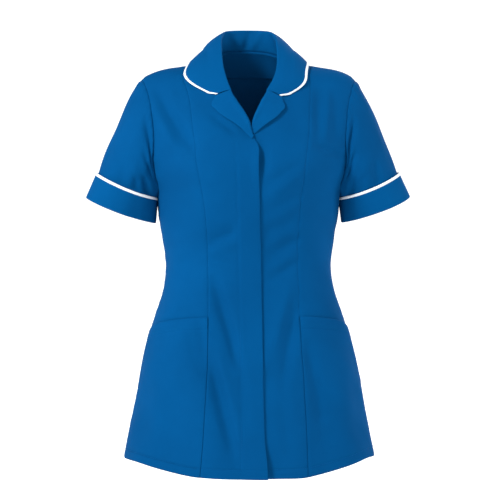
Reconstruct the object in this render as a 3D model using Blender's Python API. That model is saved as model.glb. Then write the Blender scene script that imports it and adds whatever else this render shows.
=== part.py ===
"""A short-sleeved healthcare tunic, filled out as it is worn. Metres, +Z up, front facing -Y.

The origin lies midway between the neck ends of the two shoulder seams, where the wearer's
shoulders carry the garment. +X is the wearer's left. Every panel is a thin wall lofted through
level rows of one torso form, so neighbouring panels share their seam lines.
"""

import math
from collections import namedtuple

import bmesh
import bpy
import numpy as np

# Cloth
WALL = 0.0012
SEAM_GAP = 0.0003
LAYER = WALL + SEAM_GAP

# Levels: a row's level is its height up to the yoke, and above it the way over the shoulder
HEM_LEVEL = -0.695
HEM_DIP = 0.009
HEM_DIP_REACH = 0.25
UNDERARM_LEVEL = -0.232
YOKE_LEVEL = -0.130
SHOULDER_LEVEL = 0.030
SHOULDER_Y = 0.005

# Rows of the grids
SKIRT_ROWS = 16
ARMHOLE_RISES = (0.0015, 0.004, 0.010, 0.020, 0.034, 0.056, 0.080)
YOKE_ROWS = 7
CENTRE_COLUMNS = 6
SIDE_COLUMNS = 6
BACK_COLUMNS = 10

# Torso form: half width and depths from the centre, and the princess seam's distance from it
Section = namedtuple("Section", "height half_width front back princess")
TORSO = (
    Section(-0.710, 0.2215, 0.1510, 0.1370, 0.0925),
    Section(-0.662, 0.2135, 0.1465, 0.1335, 0.0894),
    Section(-0.620, 0.2050, 0.1420, 0.1300, 0.0872),
    Section(-0.567, 0.1960, 0.1355, 0.1255, 0.0843),
    Section(-0.525, 0.1864, 0.1300, 0.1200, 0.0822),
    Section(-0.483, 0.1755, 0.1230, 0.1130, 0.0803),
    Section(-0.441, 0.1630, 0.1155, 0.1045, 0.0790),
    Section(-0.399, 0.1505, 0.1090, 0.0935, 0.0778),
    Section(-0.357, 0.1446, 0.1060, 0.0860, 0.0767),
    Section(-0.315, 0.1496, 0.1090, 0.0870, 0.0770),
    Section(-0.270, 0.1564, 0.1160, 0.0940, 0.0793),
    Section(-0.232, 0.1585, 0.1205, 0.1000, 0.0840),
    Section(-0.200, 0.1700, 0.1205, 0.1040, 0.0893),
    Section(-0.165, 0.1810, 0.1150, 0.1060, 0.0942),
    Section(-0.130, 0.1880, 0.1040, 0.1050, 0.0982),
    Section(-0.090, 0.1930, 0.0930, 0.1020, 0.1015),
    Section(-0.050, 0.1960, 0.0850, 0.0985, 0.1052),
    Section(0.000, 0.1980, 0.0780, 0.0950, 0.1085),
    Section(0.045, 0.2000, 0.0740, 0.0930, 0.1100),
)
SQUARENESS = 0.03
FLAT_FRONT = 0.016
FLAT_FRONT_EASE = 0.034

# Fullness that the princess seams shape over the chest
CUP_DEPTH = 0.009
CUP_X = 0.078
CUP_HEIGHT = -0.195
CUP_WIDTH = 0.050
CUP_TALL = 0.062

# Height of the shoulder's ridge by distance from the centre; inside the neck it is only a guide
Ridge = namedtuple("Ridge", "x height")
SHOULDER = (
    Ridge(0.000, 0.0420),
    Ridge(0.030, 0.0340),
    Ridge(0.055, 0.0140),
    Ridge(0.070, 0.0000),
    Ridge(0.107, -0.0115),
    Ridge(0.154, -0.0210),
    Ridge(0.178, -0.0300),
    Ridge(0.186, -0.0370),
    Ridge(0.200, -0.0500),
)
NECK_POINT_X = 0.070

# Armhole: section angle of its front and back line at each level
Armhole = namedtuple("Armhole", "level front back")
ARMHOLE = (
    Armhole(-0.2320, 90.0, 90.0),
    Armhole(-0.2305, 84.0, 84.0),
    Armhole(-0.2280, 79.5, 80.0),
    Armhole(-0.2220, 75.0, 76.0),
    Armhole(-0.2120, 72.5, 73.0),
    Armhole(-0.1980, 70.0, 71.0),
    Armhole(-0.1760, 66.5, 68.5),
    Armhole(-0.1520, 61.5, 66.0),
    Armhole(-0.1300, 59.5, 64.5),
    Armhole(-0.0980, 58.6, 63.5),
    Armhole(-0.0590, 61.0, 64.5),
    Armhole(-0.0180, 65.0, 67.5),
    Armhole(0.0300, 71.2, 71.2),
)

# Inner edge of a front: straight lap, break of the lapel, roll line, gorge and neck seam.
# x is on the panel's own side of the centre, so the lap past the centre is negative.
FrontEdge = namedtuple("FrontEdge", "height x")
FRONT_EDGE = (
    FrontEdge(-0.710, -0.0160),
    FrontEdge(-0.160, -0.0160),
    FrontEdge(-0.1480, -0.0145),
    FrontEdge(-0.1370, -0.0100),
    FrontEdge(-0.1290, -0.0060),
    FrontEdge(-0.1140, 0.0017),
    FrontEdge(-0.0905, 0.0136),
    FrontEdge(-0.0710, 0.0230),
    FrontEdge(-0.0570, 0.0305),
    FrontEdge(-0.0440, 0.0455),
    FrontEdge(-0.0300, 0.0560),
    FrontEdge(-0.0150, 0.0640),
    FrontEdge(0.0000, 0.0700),
)

# Neck seam across the back
BackNeck = namedtuple("BackNeck", "x height")
BACK_NECK = (
    BackNeck(0.000, 0.0155),
    BackNeck(0.030, 0.0140),
    BackNeck(0.055, 0.0080),
    BackNeck(0.070, 0.0000),
)

# Under the lap the left front and the zip each lie one layer deeper
LAP_FLAT = 0.018
LAP_EASE = 0.048
LAP_TOP = -0.100
LAP_FULL_TOP = -0.137
ZIP_FIRST_ROW = 2
ZIP_LAST_ROW = 23
ZIP_COLUMNS = (0.15, 1.0, 1.85)
ZIP_THICKNESS = 0.0011
HEM_KICK = 0.0035
HEM_KICK_REACH = 0.06

# Lapel: roll line and outer edge in the front view, from the break up to the gorge
Lapel = namedtuple("Lapel", "roll_x roll_height outer_x outer_height")
LAPEL = (
    Lapel(-0.0060, -0.1290, -0.0040, -0.1335),
    Lapel(0.0000, -0.1174, 0.0070, -0.1245),
    Lapel(0.0040, -0.1090, 0.0160, -0.1180),
    Lapel(0.0095, -0.0985, 0.0290, -0.1105),
    Lapel(0.0146, -0.0885, 0.0440, -0.1005),
    Lapel(0.0195, -0.0785, 0.0560, -0.0885),
    Lapel(0.0230, -0.0710, 0.0628, -0.0797),
    Lapel(0.0288, -0.0602, 0.0560, -0.0672),
)
LAPEL_COLUMNS = 6
LAPEL_STANDOFF = 0.0005
LAPEL_HUMP = 0.0030
LAPEL_HUMP_PLACE = 0.16
LAPEL_HUMP_FADE = 3.0
LAPEL_INSET = 0.0012

# Collar: fold and outer edge of one half, by the share of the neck seam from centre back.
# The fold stands free inside the neck, the edge lies on the form at its height, and between
# them the fall rounds up by its crown.
Collar = namedtuple("Collar", "share roll_x roll_y roll_z edge_x edge_height back crown")
COLLAR = (
    Collar(0.00, 0.0000, 0.0500, 0.0510, 0.0000, -0.0070, True, 0.0045),
    Collar(0.14, 0.0255, 0.0450, 0.0505, 0.0340, -0.0080, True, 0.0050),
    Collar(0.27, 0.0405, 0.0300, 0.0480, 0.0640, -0.0115, True, 0.0070),
    Collar(0.40, 0.0465, 0.0090, 0.0410, 0.0895, -0.0135, True, 0.0095),
    Collar(0.50, 0.0480, -0.0120, 0.0290, 0.1025, -0.0107, True, 0.0095),
    Collar(0.63, 0.0482, -0.0340, 0.0105, 0.1065, -0.0200, False, 0.0080),
    Collar(0.76, 0.0470, -0.0560, -0.0140, 0.1045, -0.0395, False, 0.0050),
    Collar(0.89, 0.0400, -0.0695, -0.0380, 0.0865, -0.0560, False, 0.0022),
    Collar(1.00, 0.0272, -0.0785, -0.0560, 0.0552, -0.0635, False, 0.0004),
)
COLLAR_LONGEST_STEP = 0.014
STAND_ROWS = 3
FOLD_ROWS = 4
FALL_ROWS = 5
FOLD_RADIUS = 0.0017
EDGE_STANDOFF = 0.0024
FALL_FULLNESS = 1.35
GORGE_ROWS = 5

# Piping: a soft flat cord
PIPING_WIDTH = 0.0050
PIPING_THICKNESS = 0.0020
PIPING_GAP = 0.0004
PIPING_SIDES = 8

# Sleeve: ring where the cuff's top lies and ring of the sleeve's end, in the front view
Ring = namedtuple("Ring", "outer_x outer_z inner_x inner_z centre_y half_depth")
CUFF_TOP = Ring(0.2610, -0.1985, 0.1650, -0.2425, -0.002, 0.0490)
CUFF_END = Ring(0.2815, -0.2425, 0.1685, -0.2865, -0.004, 0.0520)
SLEEVE_STEPS = (0.0, 0.10, 0.26, 0.45, 0.70, 1.0, 1.5, 2.0)
CAP_FULLNESS = 0.0060
CUFF_STEPS = (1.10, 1.4, 1.7, 2.0)
CUFF_TOP_STANDOFF = 0.0030
CUFF_END_STANDOFF = 0.0003

# Pocket: height of its mouth at the princess seam and at the side seam
POCKET_MOUTH_INNER = -0.4386
POCKET_MOUTH_OUTER = -0.4646
POCKET_FULL_ROWS = 8
POCKET_GAPE = 0.0022
POCKET_GAPE_REACH = 0.07

# Back neck facing
FACING_EDGE_HEIGHT = -0.031
FACING_ROWS = 4
FACING_GAP = 0.0013
NECK_COLUMNS = 3

# Largest folds: soft ridges (+) and troughs (-) from one point to another in the front or back view
Fold = namedtuple("Fold", "back x1 z1 x2 z2 width height")
FOLDS = (
    Fold(False, -0.146, -0.055, -0.112, -0.160, 0.016, -0.0030),
    Fold(False, -0.122, -0.050, -0.098, -0.150, 0.015, -0.0024),
    Fold(False, 0.118, -0.050, 0.122, -0.150, 0.016, -0.0024),
    Fold(False, 0.146, -0.060, 0.140, -0.150, 0.015, -0.0020),
    Fold(False, -0.070, -0.305, -0.020, -0.290, 0.013, -0.0022),
    Fold(False, 0.025, -0.300, 0.078, -0.270, 0.014, -0.0024),
    Fold(False, 0.030, -0.350, 0.078, -0.318, 0.014, -0.0022),
    Fold(False, -0.066, -0.385, -0.022, -0.520, 0.016, -0.0034),
    Fold(False, -0.066, -0.530, -0.030, -0.680, 0.018, -0.0036),
    Fold(False, 0.030, -0.560, 0.075, -0.420, 0.018, -0.0026),
    Fold(False, 0.120, -0.560, 0.135, -0.690, 0.022, -0.0030),
    Fold(False, -0.130, -0.560, -0.150, -0.690, 0.022, -0.0030),
    Fold(True, -0.060, -0.300, 0.010, -0.330, 0.016, -0.0026),
    Fold(True, 0.070, -0.290, 0.000, -0.360, 0.016, -0.0026),
    Fold(True, -0.140, -0.060, -0.110, -0.170, 0.018, -0.0026),
    Fold(True, 0.140, -0.065, 0.108, -0.180, 0.018, -0.0026),
    Fold(True, -0.045, -0.520, -0.060, -0.690, 0.022, -0.0034),
    Fold(True, 0.040, -0.500, 0.062, -0.690, 0.022, -0.0034),
)

LINE_SAMPLES = 600
RIGHT_ANGLE = math.pi / 2


# Reading tables

def smooth_line(rows, key, value):
    """A smooth line through two columns of a table, sampled densely."""
    keys = np.array([getattr(row, key) for row in rows])
    values = np.array([getattr(row, value) for row in rows])
    order = np.argsort(keys)
    keys = keys[order]
    values = values[order]
    secants = np.diff(values) / np.diff(keys)
    slopes = np.zeros(len(keys))
    slopes[0] = secants[0]
    slopes[-1] = secants[-1]
    for i in range(1, len(keys) - 1):
        if secants[i - 1] * secants[i] > 0:
            slopes[i] = 2 / (1 / secants[i - 1] + 1 / secants[i])
    fine = np.linspace(keys[0], keys[-1], LINE_SAMPLES)
    span = np.clip(np.searchsorted(keys, fine, side="right") - 1, 0, len(keys) - 2)
    width = keys[span + 1] - keys[span]
    t = (fine - keys[span]) / width
    value_part = (1 + 2 * t) * (1 - t) ** 2 * values[span] + t * t * (3 - 2 * t) * values[span + 1]
    slope_part = t * (1 - t) ** 2 * slopes[span] - t * t * (1 - t) * slopes[span + 1]
    return fine, value_part + width * slope_part


def read(line, key):
    return float(np.interp(key, line[0], line[1]))


HALF_WIDTH = smooth_line(TORSO, "height", "half_width")
FRONT_DEPTH = smooth_line(TORSO, "height", "front")
BACK_DEPTH = smooth_line(TORSO, "height", "back")
PRINCESS = smooth_line(TORSO, "height", "princess")
RIDGE_HEIGHT = smooth_line(SHOULDER, "x", "height")
ARMHOLE_FRONT = smooth_line(ARMHOLE, "level", "front")
ARMHOLE_BACK = smooth_line(ARMHOLE, "level", "back")
EDGE_X = smooth_line(FRONT_EDGE, "height", "x")
BACK_NECK_HEIGHT = smooth_line(BACK_NECK, "x", "height")


def smoothstep(start, end, value):
    t = min(1.0, max(0.0, (value - start) / (end - start)))
    return t * t * (3 - 2 * t)


# The torso form

def section(height, angle):
    """x and y of the form's section: angle 0 is centre front, a right angle is the left side."""
    depth = read(FRONT_DEPTH if math.cos(angle) > 0 else BACK_DEPTH, height)
    swell = 1 + SQUARENESS * math.sin(2 * angle) ** 2
    x = read(HALF_WIDTH, height) * math.sin(angle) * swell
    y = -depth * math.cos(angle) * swell
    if math.cos(angle) > 0:
        across = (abs(x) - CUP_X) / CUP_WIDTH
        along = (height - CUP_HEIGHT) / CUP_TALL
        y -= CUP_DEPTH * math.exp(-across ** 2 - along ** 2) * math.cos(angle)
    return x, y


def yoke_share(level):
    return max(0.0, (level - YOKE_LEVEL) / (SHOULDER_LEVEL - YOKE_LEVEL))


def yoke_height(share, x):
    ridge = read(RIDGE_HEIGHT, abs(x))
    return YOKE_LEVEL + (ridge - YOKE_LEVEL) * math.sin(RIGHT_ANGLE * share)


def form_point(level, angle):
    """Point of the torso form on a row's level."""
    share = yoke_share(level)
    if share == 0:
        low = 1 - smoothstep(HEM_LEVEL, HEM_LEVEL + HEM_DIP_REACH, level)
        height = level - HEM_DIP * low * math.cos(angle) ** 2
        x, y = section(height, angle)
        return np.array((x, y, height))
    height = level
    for _ in range(6):
        x, y = section(height, angle)
        height = yoke_height(share, x)
    x, y = section(height, angle)
    y = SHOULDER_Y + (y - SHOULDER_Y) * math.cos(RIGHT_ANGLE * share)
    y -= math.copysign(SEAM_GAP / 2 * share, math.cos(angle))
    return np.array((x, y, height))


def form_normal(level, angle):
    step = 0.001
    low = min(level, SHOULDER_LEVEL - 2 * step) - step
    up = form_point(low + 2 * step, angle) - form_point(low, angle)
    across = form_point(level, angle + step) - form_point(level, angle - step)
    normal = np.cross(across, up)
    return normal / np.linalg.norm(normal)


def fold_rise(point, back):
    """How far the largest folds lift the cloth at a point."""
    rise = 0.0
    for fold in FOLDS:
        if fold.back != back:
            continue
        start = np.array((fold.x1, fold.z1))
        run = np.array((fold.x2, fold.z2)) - start
        here = np.array((point[0], point[2])) - start
        along = float(here @ run) / float(run @ run)
        if not -0.3 < along < 1.3:
            continue
        nearest = min(1.0, max(0.0, along))
        away = np.linalg.norm(here - run * nearest)
        taper = smoothstep(-0.3, 0.3, along) * smoothstep(1.3, 0.7, along)
        rise += fold.height * taper * math.exp(-(away / fold.width) ** 2)
    if back:
        return rise
    return rise * smoothstep(FLAT_FRONT, FLAT_FRONT_EASE, abs(point[0]))


def cloth_point(level, angle, lift):
    """Outer point of the cloth, and the direction out of it."""
    point = form_point(level, angle)
    normal = form_normal(level, angle)
    rise = fold_rise(point, math.cos(angle) < 0)
    return point + normal * (lift(point) + rise), normal


def no_lift(_point):
    return 0.0


def angle_at(x, height):
    """Section angle, from the front, at a distance x from the centre."""
    half_width = read(HALF_WIDTH, height)
    angle = 0.0
    for _ in range(10):
        swell = 1 + SQUARENESS * math.sin(2 * angle) ** 2
        angle = math.asin(min(1.0, abs(x) / (half_width * swell)))
    return math.copysign(angle, x)


def line_angle(level, line):
    """Section angle where a line, given by its x at each height, crosses a level."""
    share = yoke_share(level)
    height = level
    for _ in range(8):
        x = read(line, height)
        height = yoke_height(share, x) if share else level
    return angle_at(x, height)


def dome_point(x, turn):
    """Point of the form over the yoke: turn 0 is the front yoke line, a right angle the shoulder ridge."""
    rise = read(RIDGE_HEIGHT, abs(x)) - YOKE_LEVEL
    height = YOKE_LEVEL + rise * math.sin(turn)
    angle = abs(angle_at(x, height))
    y = section(height, angle if turn < RIGHT_ANGLE else math.pi - angle)[1]
    return np.array((x, SHOULDER_Y + (y - SHOULDER_Y) * abs(math.cos(turn)), height))


def dome_slopes(x, turn):
    step = 0.001
    across = (dome_point(x + step, turn) - dome_point(x - step, turn)) / (2 * step)
    along = (dome_point(x, turn + step) - dome_point(x, turn - step)) / (2 * step)
    normal = np.cross(across, along)
    return across, along, normal / np.linalg.norm(normal)


def dome_turn(x, height, back):
    rise = (height - YOKE_LEVEL) / (read(RIDGE_HEIGHT, abs(x)) - YOKE_LEVEL)
    turn = math.asin(min(1.0, rise))
    return math.pi - turn if back else turn


def dome_foot(point):
    """Place (x and turn) of the form's point straight under a point, and the distance between them."""
    x = point[0]
    turn = RIGHT_ANGLE + math.atan2(point[1] - SHOULDER_Y, point[2] - YOKE_LEVEL)
    for _ in range(12):
        across, along, normal = dome_slopes(x, turn)
        gap = point - dome_point(x, turn)
        rise = float(gap @ normal)
        slopes = np.stack((across, along), axis=1)
        step = np.linalg.lstsq(slopes, gap - normal * rise, rcond=None)[0]
        x += step[0]
        turn += step[1]
    return np.array((x, turn)), rise


# Seam lines as section angles

def princess_front(level):
    return line_angle(level, PRINCESS)


def princess_back(level):
    return math.pi - line_angle(level, PRINCESS)


def front_side_edge(level):
    if level <= UNDERARM_LEVEL:
        return RIGHT_ANGLE
    return math.radians(read(ARMHOLE_FRONT, level))


def back_side_edge(level):
    if level <= UNDERARM_LEVEL:
        return RIGHT_ANGLE
    return math.pi - math.radians(read(ARMHOLE_BACK, level))


def front_edge(level):
    return line_angle(level, EDGE_X)


def torso_levels():
    """Levels of the rows that all torso panels share."""
    skirt = np.linspace(HEM_LEVEL, UNDERARM_LEVEL, SKIRT_ROWS + 1)
    armhole = [UNDERARM_LEVEL + rise for rise in ARMHOLE_RISES]
    yoke = np.linspace(YOKE_LEVEL, SHOULDER_LEVEL, YOKE_ROWS + 1)
    return [float(level) for level in (*skirt, *armhole, *yoke)]


# Making solids

def trimmed(level, start, end):
    """Angles of a row's ends, each drawn in by half the seam gap."""
    step = 0.001
    reach_start = np.linalg.norm(form_point(level, start + step) - form_point(level, start)) / step
    reach_end = np.linalg.norm(form_point(level, end - step) - form_point(level, end)) / step
    return start + SEAM_GAP / 2 / reach_start, end - SEAM_GAP / 2 / reach_end


def panel_rows(levels, start_line, end_line, columns, lift=no_lift, side=1):
    """Outer and inner points of a panel between two seam lines on one side of the body."""
    outer = []
    inner = []
    for level in levels:
        start, end = trimmed(level, start_line(level), end_line(level))
        outer_row = []
        inner_row = []
        for column in range(columns + 1):
            angle = side * (start + (end - start) * column / columns)
            point, normal = cloth_point(level, angle, lift)
            outer_row.append(point)
            inner_row.append(point - normal * WALL)
        outer.append(outer_row)
        inner.append(inner_row)
    return np.array(outer), np.array(inner)


def unit(vectors):
    return vectors / np.linalg.norm(vectors, axis=-1, keepdims=True)


def grid_steps(grid, axis, closed):
    """Directions along one axis of a grid, halfway between the steps before and after each point."""
    steps = unit(np.diff(grid, axis=axis))
    first = np.take(steps, [0], axis=axis)
    last = np.take(steps, [-1], axis=axis)
    if closed:
        first = unit(np.take(grid, [0], axis=axis) - np.take(grid, [-1], axis=axis))
        last = first
    before = np.concatenate((first, steps), axis=axis)
    after = np.concatenate((steps, last), axis=axis)
    return unit(before + after)


def grid_normals(grid, closed):
    """Directions out of a grid of points whose rows run up or along and columns across."""
    across = grid_steps(grid, 1, closed)
    along = grid_steps(grid, 0, False)
    return unit(np.cross(across, along))


def add_wall(name, outer, inner, material, closed=False):
    """Solid between an outer and an inner grid of points; closed joins the last column to the first."""
    mesh = bmesh.new()
    rows, columns = outer.shape[:2]
    skins = [[[mesh.verts.new(p) for p in row] for row in grid] for grid in (outer, inner)]
    steps = columns if closed else columns - 1
    for r in range(rows - 1):
        for c in range(steps):
            d = (c + 1) % columns
            for skin, turn in zip(skins, (1, -1)):
                low, right, far, up = skin[r][c], skin[r][d], skin[r + 1][d], skin[r + 1][c]
                mesh.faces.new((low, right, far)[::turn])
                mesh.faces.new((low, far, up)[::turn])
    out_skin, in_skin = skins
    for c in range(steps):
        d = (c + 1) % columns
        mesh.faces.new((out_skin[0][d], out_skin[0][c], in_skin[0][c], in_skin[0][d]))
        mesh.faces.new((out_skin[-1][c], out_skin[-1][d], in_skin[-1][d], in_skin[-1][c]))
    if not closed:
        for r in range(rows - 1):
            mesh.faces.new((out_skin[r][0], out_skin[r + 1][0], in_skin[r + 1][0], in_skin[r][0]))
            mesh.faces.new((out_skin[r + 1][-1], out_skin[r][-1], in_skin[r][-1], in_skin[r + 1][-1]))
    return add_object(name, mesh, material)


def add_cord(name, centres, wides, thicks, material, closed):
    """Flat cord swept along centres; wides and thicks are its half axes at each of them."""
    mesh = bmesh.new()
    rings = []
    for centre, wide, thick in zip(centres, wides, thicks):
        turns = [2 * math.pi * i / PIPING_SIDES for i in range(PIPING_SIDES)]
        ring = [centre + wide * math.cos(turn) + thick * math.sin(turn) for turn in turns]
        rings.append([mesh.verts.new(p) for p in ring])
    pairs = list(zip(rings, rings[1:]))
    if closed:
        pairs.append((rings[-1], rings[0]))
    for near, far in pairs:
        for i in range(PIPING_SIDES):
            j = (i + 1) % PIPING_SIDES
            mesh.faces.new((near[i], near[j], far[j], far[i]))
    if not closed:
        mesh.faces.new(rings[0][::-1])
        mesh.faces.new(rings[-1])
    return add_object(name, mesh, material)


def add_object(name, mesh, material):
    bmesh.ops.recalc_face_normals(mesh, faces=mesh.faces)
    if mesh.calc_volume(signed=True) < 0:
        bmesh.ops.reverse_faces(mesh, faces=mesh.faces)
    data = bpy.data.meshes.new(name)
    mesh.to_mesh(data)
    mesh.free()
    data.shade_smooth()
    data.materials.append(material)
    thing = bpy.data.objects.new(name, data)
    bpy.data.collections[COLLECTION].objects.link(thing)
    return thing


# Fronts

def lap_lift(point):
    """The left front goes under the zip and the lap."""
    near = 1 - smoothstep(LAP_FLAT, LAP_EASE, point[0])
    below = 1 - smoothstep(LAP_FULL_TOP, LAP_TOP, point[2])
    return -2 * LAYER * near * below


def kick_lift(point):
    """The lap's free edge stands off a little at the hem."""
    low = 1 - smoothstep(HEM_LEVEL, HEM_LEVEL + HEM_KICK_REACH, point[2])
    edge = smoothstep(-0.03, 0.016, point[0])
    return HEM_KICK * low * edge


def front_centre(side):
    lift = lap_lift if side > 0 else kick_lift
    return panel_rows(torso_levels(), front_edge, princess_front, CENTRE_COLUMNS, lift, side)


def front_side(side):
    return panel_rows(torso_levels(), princess_front, front_side_edge, SIDE_COLUMNS, no_lift, side)


def back_side(side):
    return panel_rows(torso_levels(), back_side_edge, princess_back, SIDE_COLUMNS, no_lift, side)


def on_grid(grid, row, column):
    """Point of a grid between its own points."""
    r = min(int(row), grid.shape[0] - 2)
    c = min(int(column), grid.shape[1] - 2)
    up = row - r
    over = column - c
    low = grid[r, c] * (1 - over) + grid[r, c + 1] * over
    high = grid[r + 1, c] * (1 - over) + grid[r + 1, c + 1] * over
    return low * (1 - up) + high * up


def row_at(grid, column, height):
    """Row, as a fraction, at which a column of a grid reaches a height."""
    return float(np.interp(height, grid[:, column, 2], np.arange(grid.shape[0])))


def pocket(side):
    """A second layer on the side front's own points, from the pocket's mouth to the hem."""
    panel, lining = front_side(side)
    base_points = []
    top_points = []
    columns = range(SIDE_COLUMNS + 1)
    mouths = []
    for column in columns:
        across = column / SIDE_COLUMNS
        drop = (POCKET_MOUTH_INNER - POCKET_MOUTH_OUTER) * (1 - (1 - across) ** 0.8)
        mouths.append(row_at(panel, column, POCKET_MOUTH_INNER - drop))
    for step in range(POCKET_FULL_ROWS + 2):
        base_row = []
        top_row = []
        for column in columns:
            above = max(0, step - POCKET_FULL_ROWS + 1) / 2
            last = POCKET_FULL_ROWS - 1
            row = step if step <= last else last + (mouths[column] - last) * above
            point = on_grid(panel, row, column)
            normal = (point - on_grid(lining, row, column)) / WALL
            below = on_grid(panel, mouths[column], column)[2] - point[2]
            bulge = math.sin(math.pi * column / SIDE_COLUMNS)
            gape = POCKET_GAPE * bulge * (1 - smoothstep(0, POCKET_GAPE_REACH, below))
            base_row.append(point + normal * (SEAM_GAP + gape))
            top_row.append(point + normal * (LAYER + gape))
        base_points.append(base_row)
        top_points.append(top_row)
    return np.array(top_points), np.array(base_points)


def zip_tape():
    """Closed zip under the lap, on the right front's own points."""
    panel, lining = front_centre(-1)
    outer = []
    inner = []
    for row in range(ZIP_FIRST_ROW, ZIP_LAST_ROW + 1):
        places = [on_grid(panel, row, column) for column in ZIP_COLUMNS]
        backs = [on_grid(lining, row, column) for column in ZIP_COLUMNS]
        normals = [(place - back) / WALL for place, back in zip(places, backs)]
        outer.append([back - normal * SEAM_GAP for back, normal in zip(backs, normals)])
        inner.append([back - normal * (SEAM_GAP + ZIP_THICKNESS) for back, normal in zip(backs, normals)])
    return np.array(outer), np.array(inner)


# Back

def back_top_level(x):
    """Level at which the back panel ends: the neck seam inside the neck, else the shoulder seam."""
    if abs(x) >= NECK_POINT_X:
        return SHOULDER_LEVEL
    rise = (read(BACK_NECK_HEIGHT, abs(x)) - YOKE_LEVEL) / (read(RIDGE_HEIGHT, abs(x)) - YOKE_LEVEL)
    share = math.asin(min(1.0, rise)) / RIGHT_ANGLE
    return YOKE_LEVEL + (SHOULDER_LEVEL - YOKE_LEVEL) * share


def back_centre():
    """One piece between the two back princess seams, with the neck cut out of its top."""
    outer = []
    inner = []
    for level in torso_levels():
        outer_row = []
        inner_row = []
        for column in range(BACK_COLUMNS + 1):
            across = 2 * column / BACK_COLUMNS - 1
            own_level = level
            for _ in range(6):
                edge = princess_back(own_level)
                start, end = trimmed(own_level, edge, 2 * math.pi - edge)
                angle = start + (end - start) * (1 - across) / 2
                top = back_top_level(form_point(own_level, angle)[0])
                if level > YOKE_LEVEL:
                    share = (level - YOKE_LEVEL) / (SHOULDER_LEVEL - YOKE_LEVEL)
                    own_level = YOKE_LEVEL + (top - YOKE_LEVEL) * share
            point, normal = cloth_point(own_level, angle, no_lift)
            outer_row.append(point)
            inner_row.append(point - normal * WALL)
        outer.append(outer_row)
        inner.append(inner_row)
    return np.array(outer), np.array(inner)


def neck_columns():
    middle = BACK_COLUMNS // 2
    return range(middle - NECK_COLUMNS, middle + NECK_COLUMNS + 1)


def neck_facing():
    """Strip on the back's own points inside the neck, down to a straight edge."""
    panel, lining = back_centre()
    top = panel.shape[0] - 1
    outer = []
    inner = []
    for step in range(FACING_ROWS + 1):
        outer_row = []
        inner_row = []
        for column in neck_columns():
            edge = row_at(lining, column, FACING_EDGE_HEIGHT)
            row = edge if step == 0 else top - FACING_ROWS + step
            if row < edge + 0.1 and step == 1:
                row = (edge + row + 1) / 2
            back = on_grid(lining, row, column)
            normal = (on_grid(panel, row, column) - back) / WALL
            outer_row.append(back - normal * FACING_GAP)
            inner_row.append(back - normal * (FACING_GAP + WALL))
        outer.append(outer_row)
        inner.append(inner_row)
    return np.array(outer), np.array(inner)


# Sleeves

def armhole_ring(side):
    """Armhole seam from the shoulder tip down the front and up the back, with the cloth's directions."""
    levels = [level for level in torso_levels() if level >= UNDERARM_LEVEL]
    angles = [(level, front_side_edge(level)) for level in reversed(levels)]
    angles += [(level, back_side_edge(level)) for level in levels[1:-1]]
    points = [cloth_point(level, side * angle, no_lift) for level, angle in angles]
    points[0] = (points[0][0] + np.array((0, SEAM_GAP / 2, 0)), points[0][1])
    return np.array([p for p, _ in points]), np.array([n for _, n in points])


def ring_turns(ring, bottom):
    """Turn of each armhole point round the sleeve, by its share of the seam's length."""
    steps = np.linalg.norm(np.diff(np.vstack((ring, ring[:1])), axis=0), axis=1)
    run = np.concatenate(([0], np.cumsum(steps)))
    front = math.pi * run[: bottom + 1] / run[bottom]
    back = math.pi + math.pi * (run[bottom + 1:-1] - run[bottom]) / (run[-1] - run[bottom])
    return np.concatenate((front, back))


def tilted_ring(ring, turns, side):
    """Ellipse of the sleeve at a named ring; turn 0 is its outer end, a quarter turn its front."""
    centre = np.array(((ring.outer_x + ring.inner_x) / 2, ring.centre_y, (ring.outer_z + ring.inner_z) / 2))
    half = np.array(((ring.outer_x - ring.inner_x) / 2, 0, (ring.outer_z - ring.inner_z) / 2))
    points = []
    for turn in turns:
        point = centre + half * math.cos(turn) + np.array((0, -ring.half_depth * math.sin(turn), 0))
        points.append(point * np.array((side, 1, 1)))
    return np.array(points)


def sleeve_surface(side, steps):
    """Outer points of the sleeve at steps from the armhole (0) over the cuff's top (1) to its end (2)."""
    seam, normals = armhole_ring(side)
    bottom = len([level for level in torso_levels() if level >= UNDERARM_LEVEL]) - 1
    turns = ring_turns(seam, bottom)
    tangents = np.roll(seam, -1, axis=0) - np.roll(seam, 1, axis=0)
    away = np.cross(normals, tangents) * side
    away /= np.linalg.norm(away, axis=1, keepdims=True)
    seam = seam + away * SEAM_GAP
    top = tilted_ring(CUFF_TOP, turns, side)
    end = tilted_ring(CUFF_END, turns, side)
    spread = top - top.mean(axis=0)
    spread /= np.linalg.norm(spread, axis=1, keepdims=True)
    round_share = 1 - ((1 - np.cos(turns)) / 2) ** 3
    rows = []
    for step in steps:
        if step <= 1:
            full = CAP_FULLNESS * math.sin(math.pi * step ** 0.75) ** 0.8 * round_share
            rows.append(seam * (1 - step) + top * step + spread * full[:, None])
        else:
            rows.append(top * (2 - step) + end * (step - 1))
    return np.array(rows), normals, away, turns


def sleeve(side):
    outer, normals, away, turns = sleeve_surface(side, SLEEVE_STEPS)
    out = grid_normals(outer, True) * side
    under = ((1 - np.cos(turns)) / 2)[:, None] ** 1.5
    into = -normals * (1 - under) + away * under
    out[0] = -into / np.linalg.norm(into, axis=1, keepdims=True)
    return outer, outer - out * WALL


def cuff(side):
    """Turned-up band round the sleeve's end, standing off it at its top."""
    ground, _, _, _ = sleeve_surface(side, CUFF_STEPS)
    out = grid_normals(ground, True) * side
    share = np.array([(2 - step) / (2 - CUFF_STEPS[0]) for step in CUFF_STEPS])[:, None, None]
    standoff = CUFF_END_STANDOFF + (CUFF_TOP_STANDOFF - CUFF_END_STANDOFF) * share
    inner = ground + out * standoff
    return inner + out * WALL, inner


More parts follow.
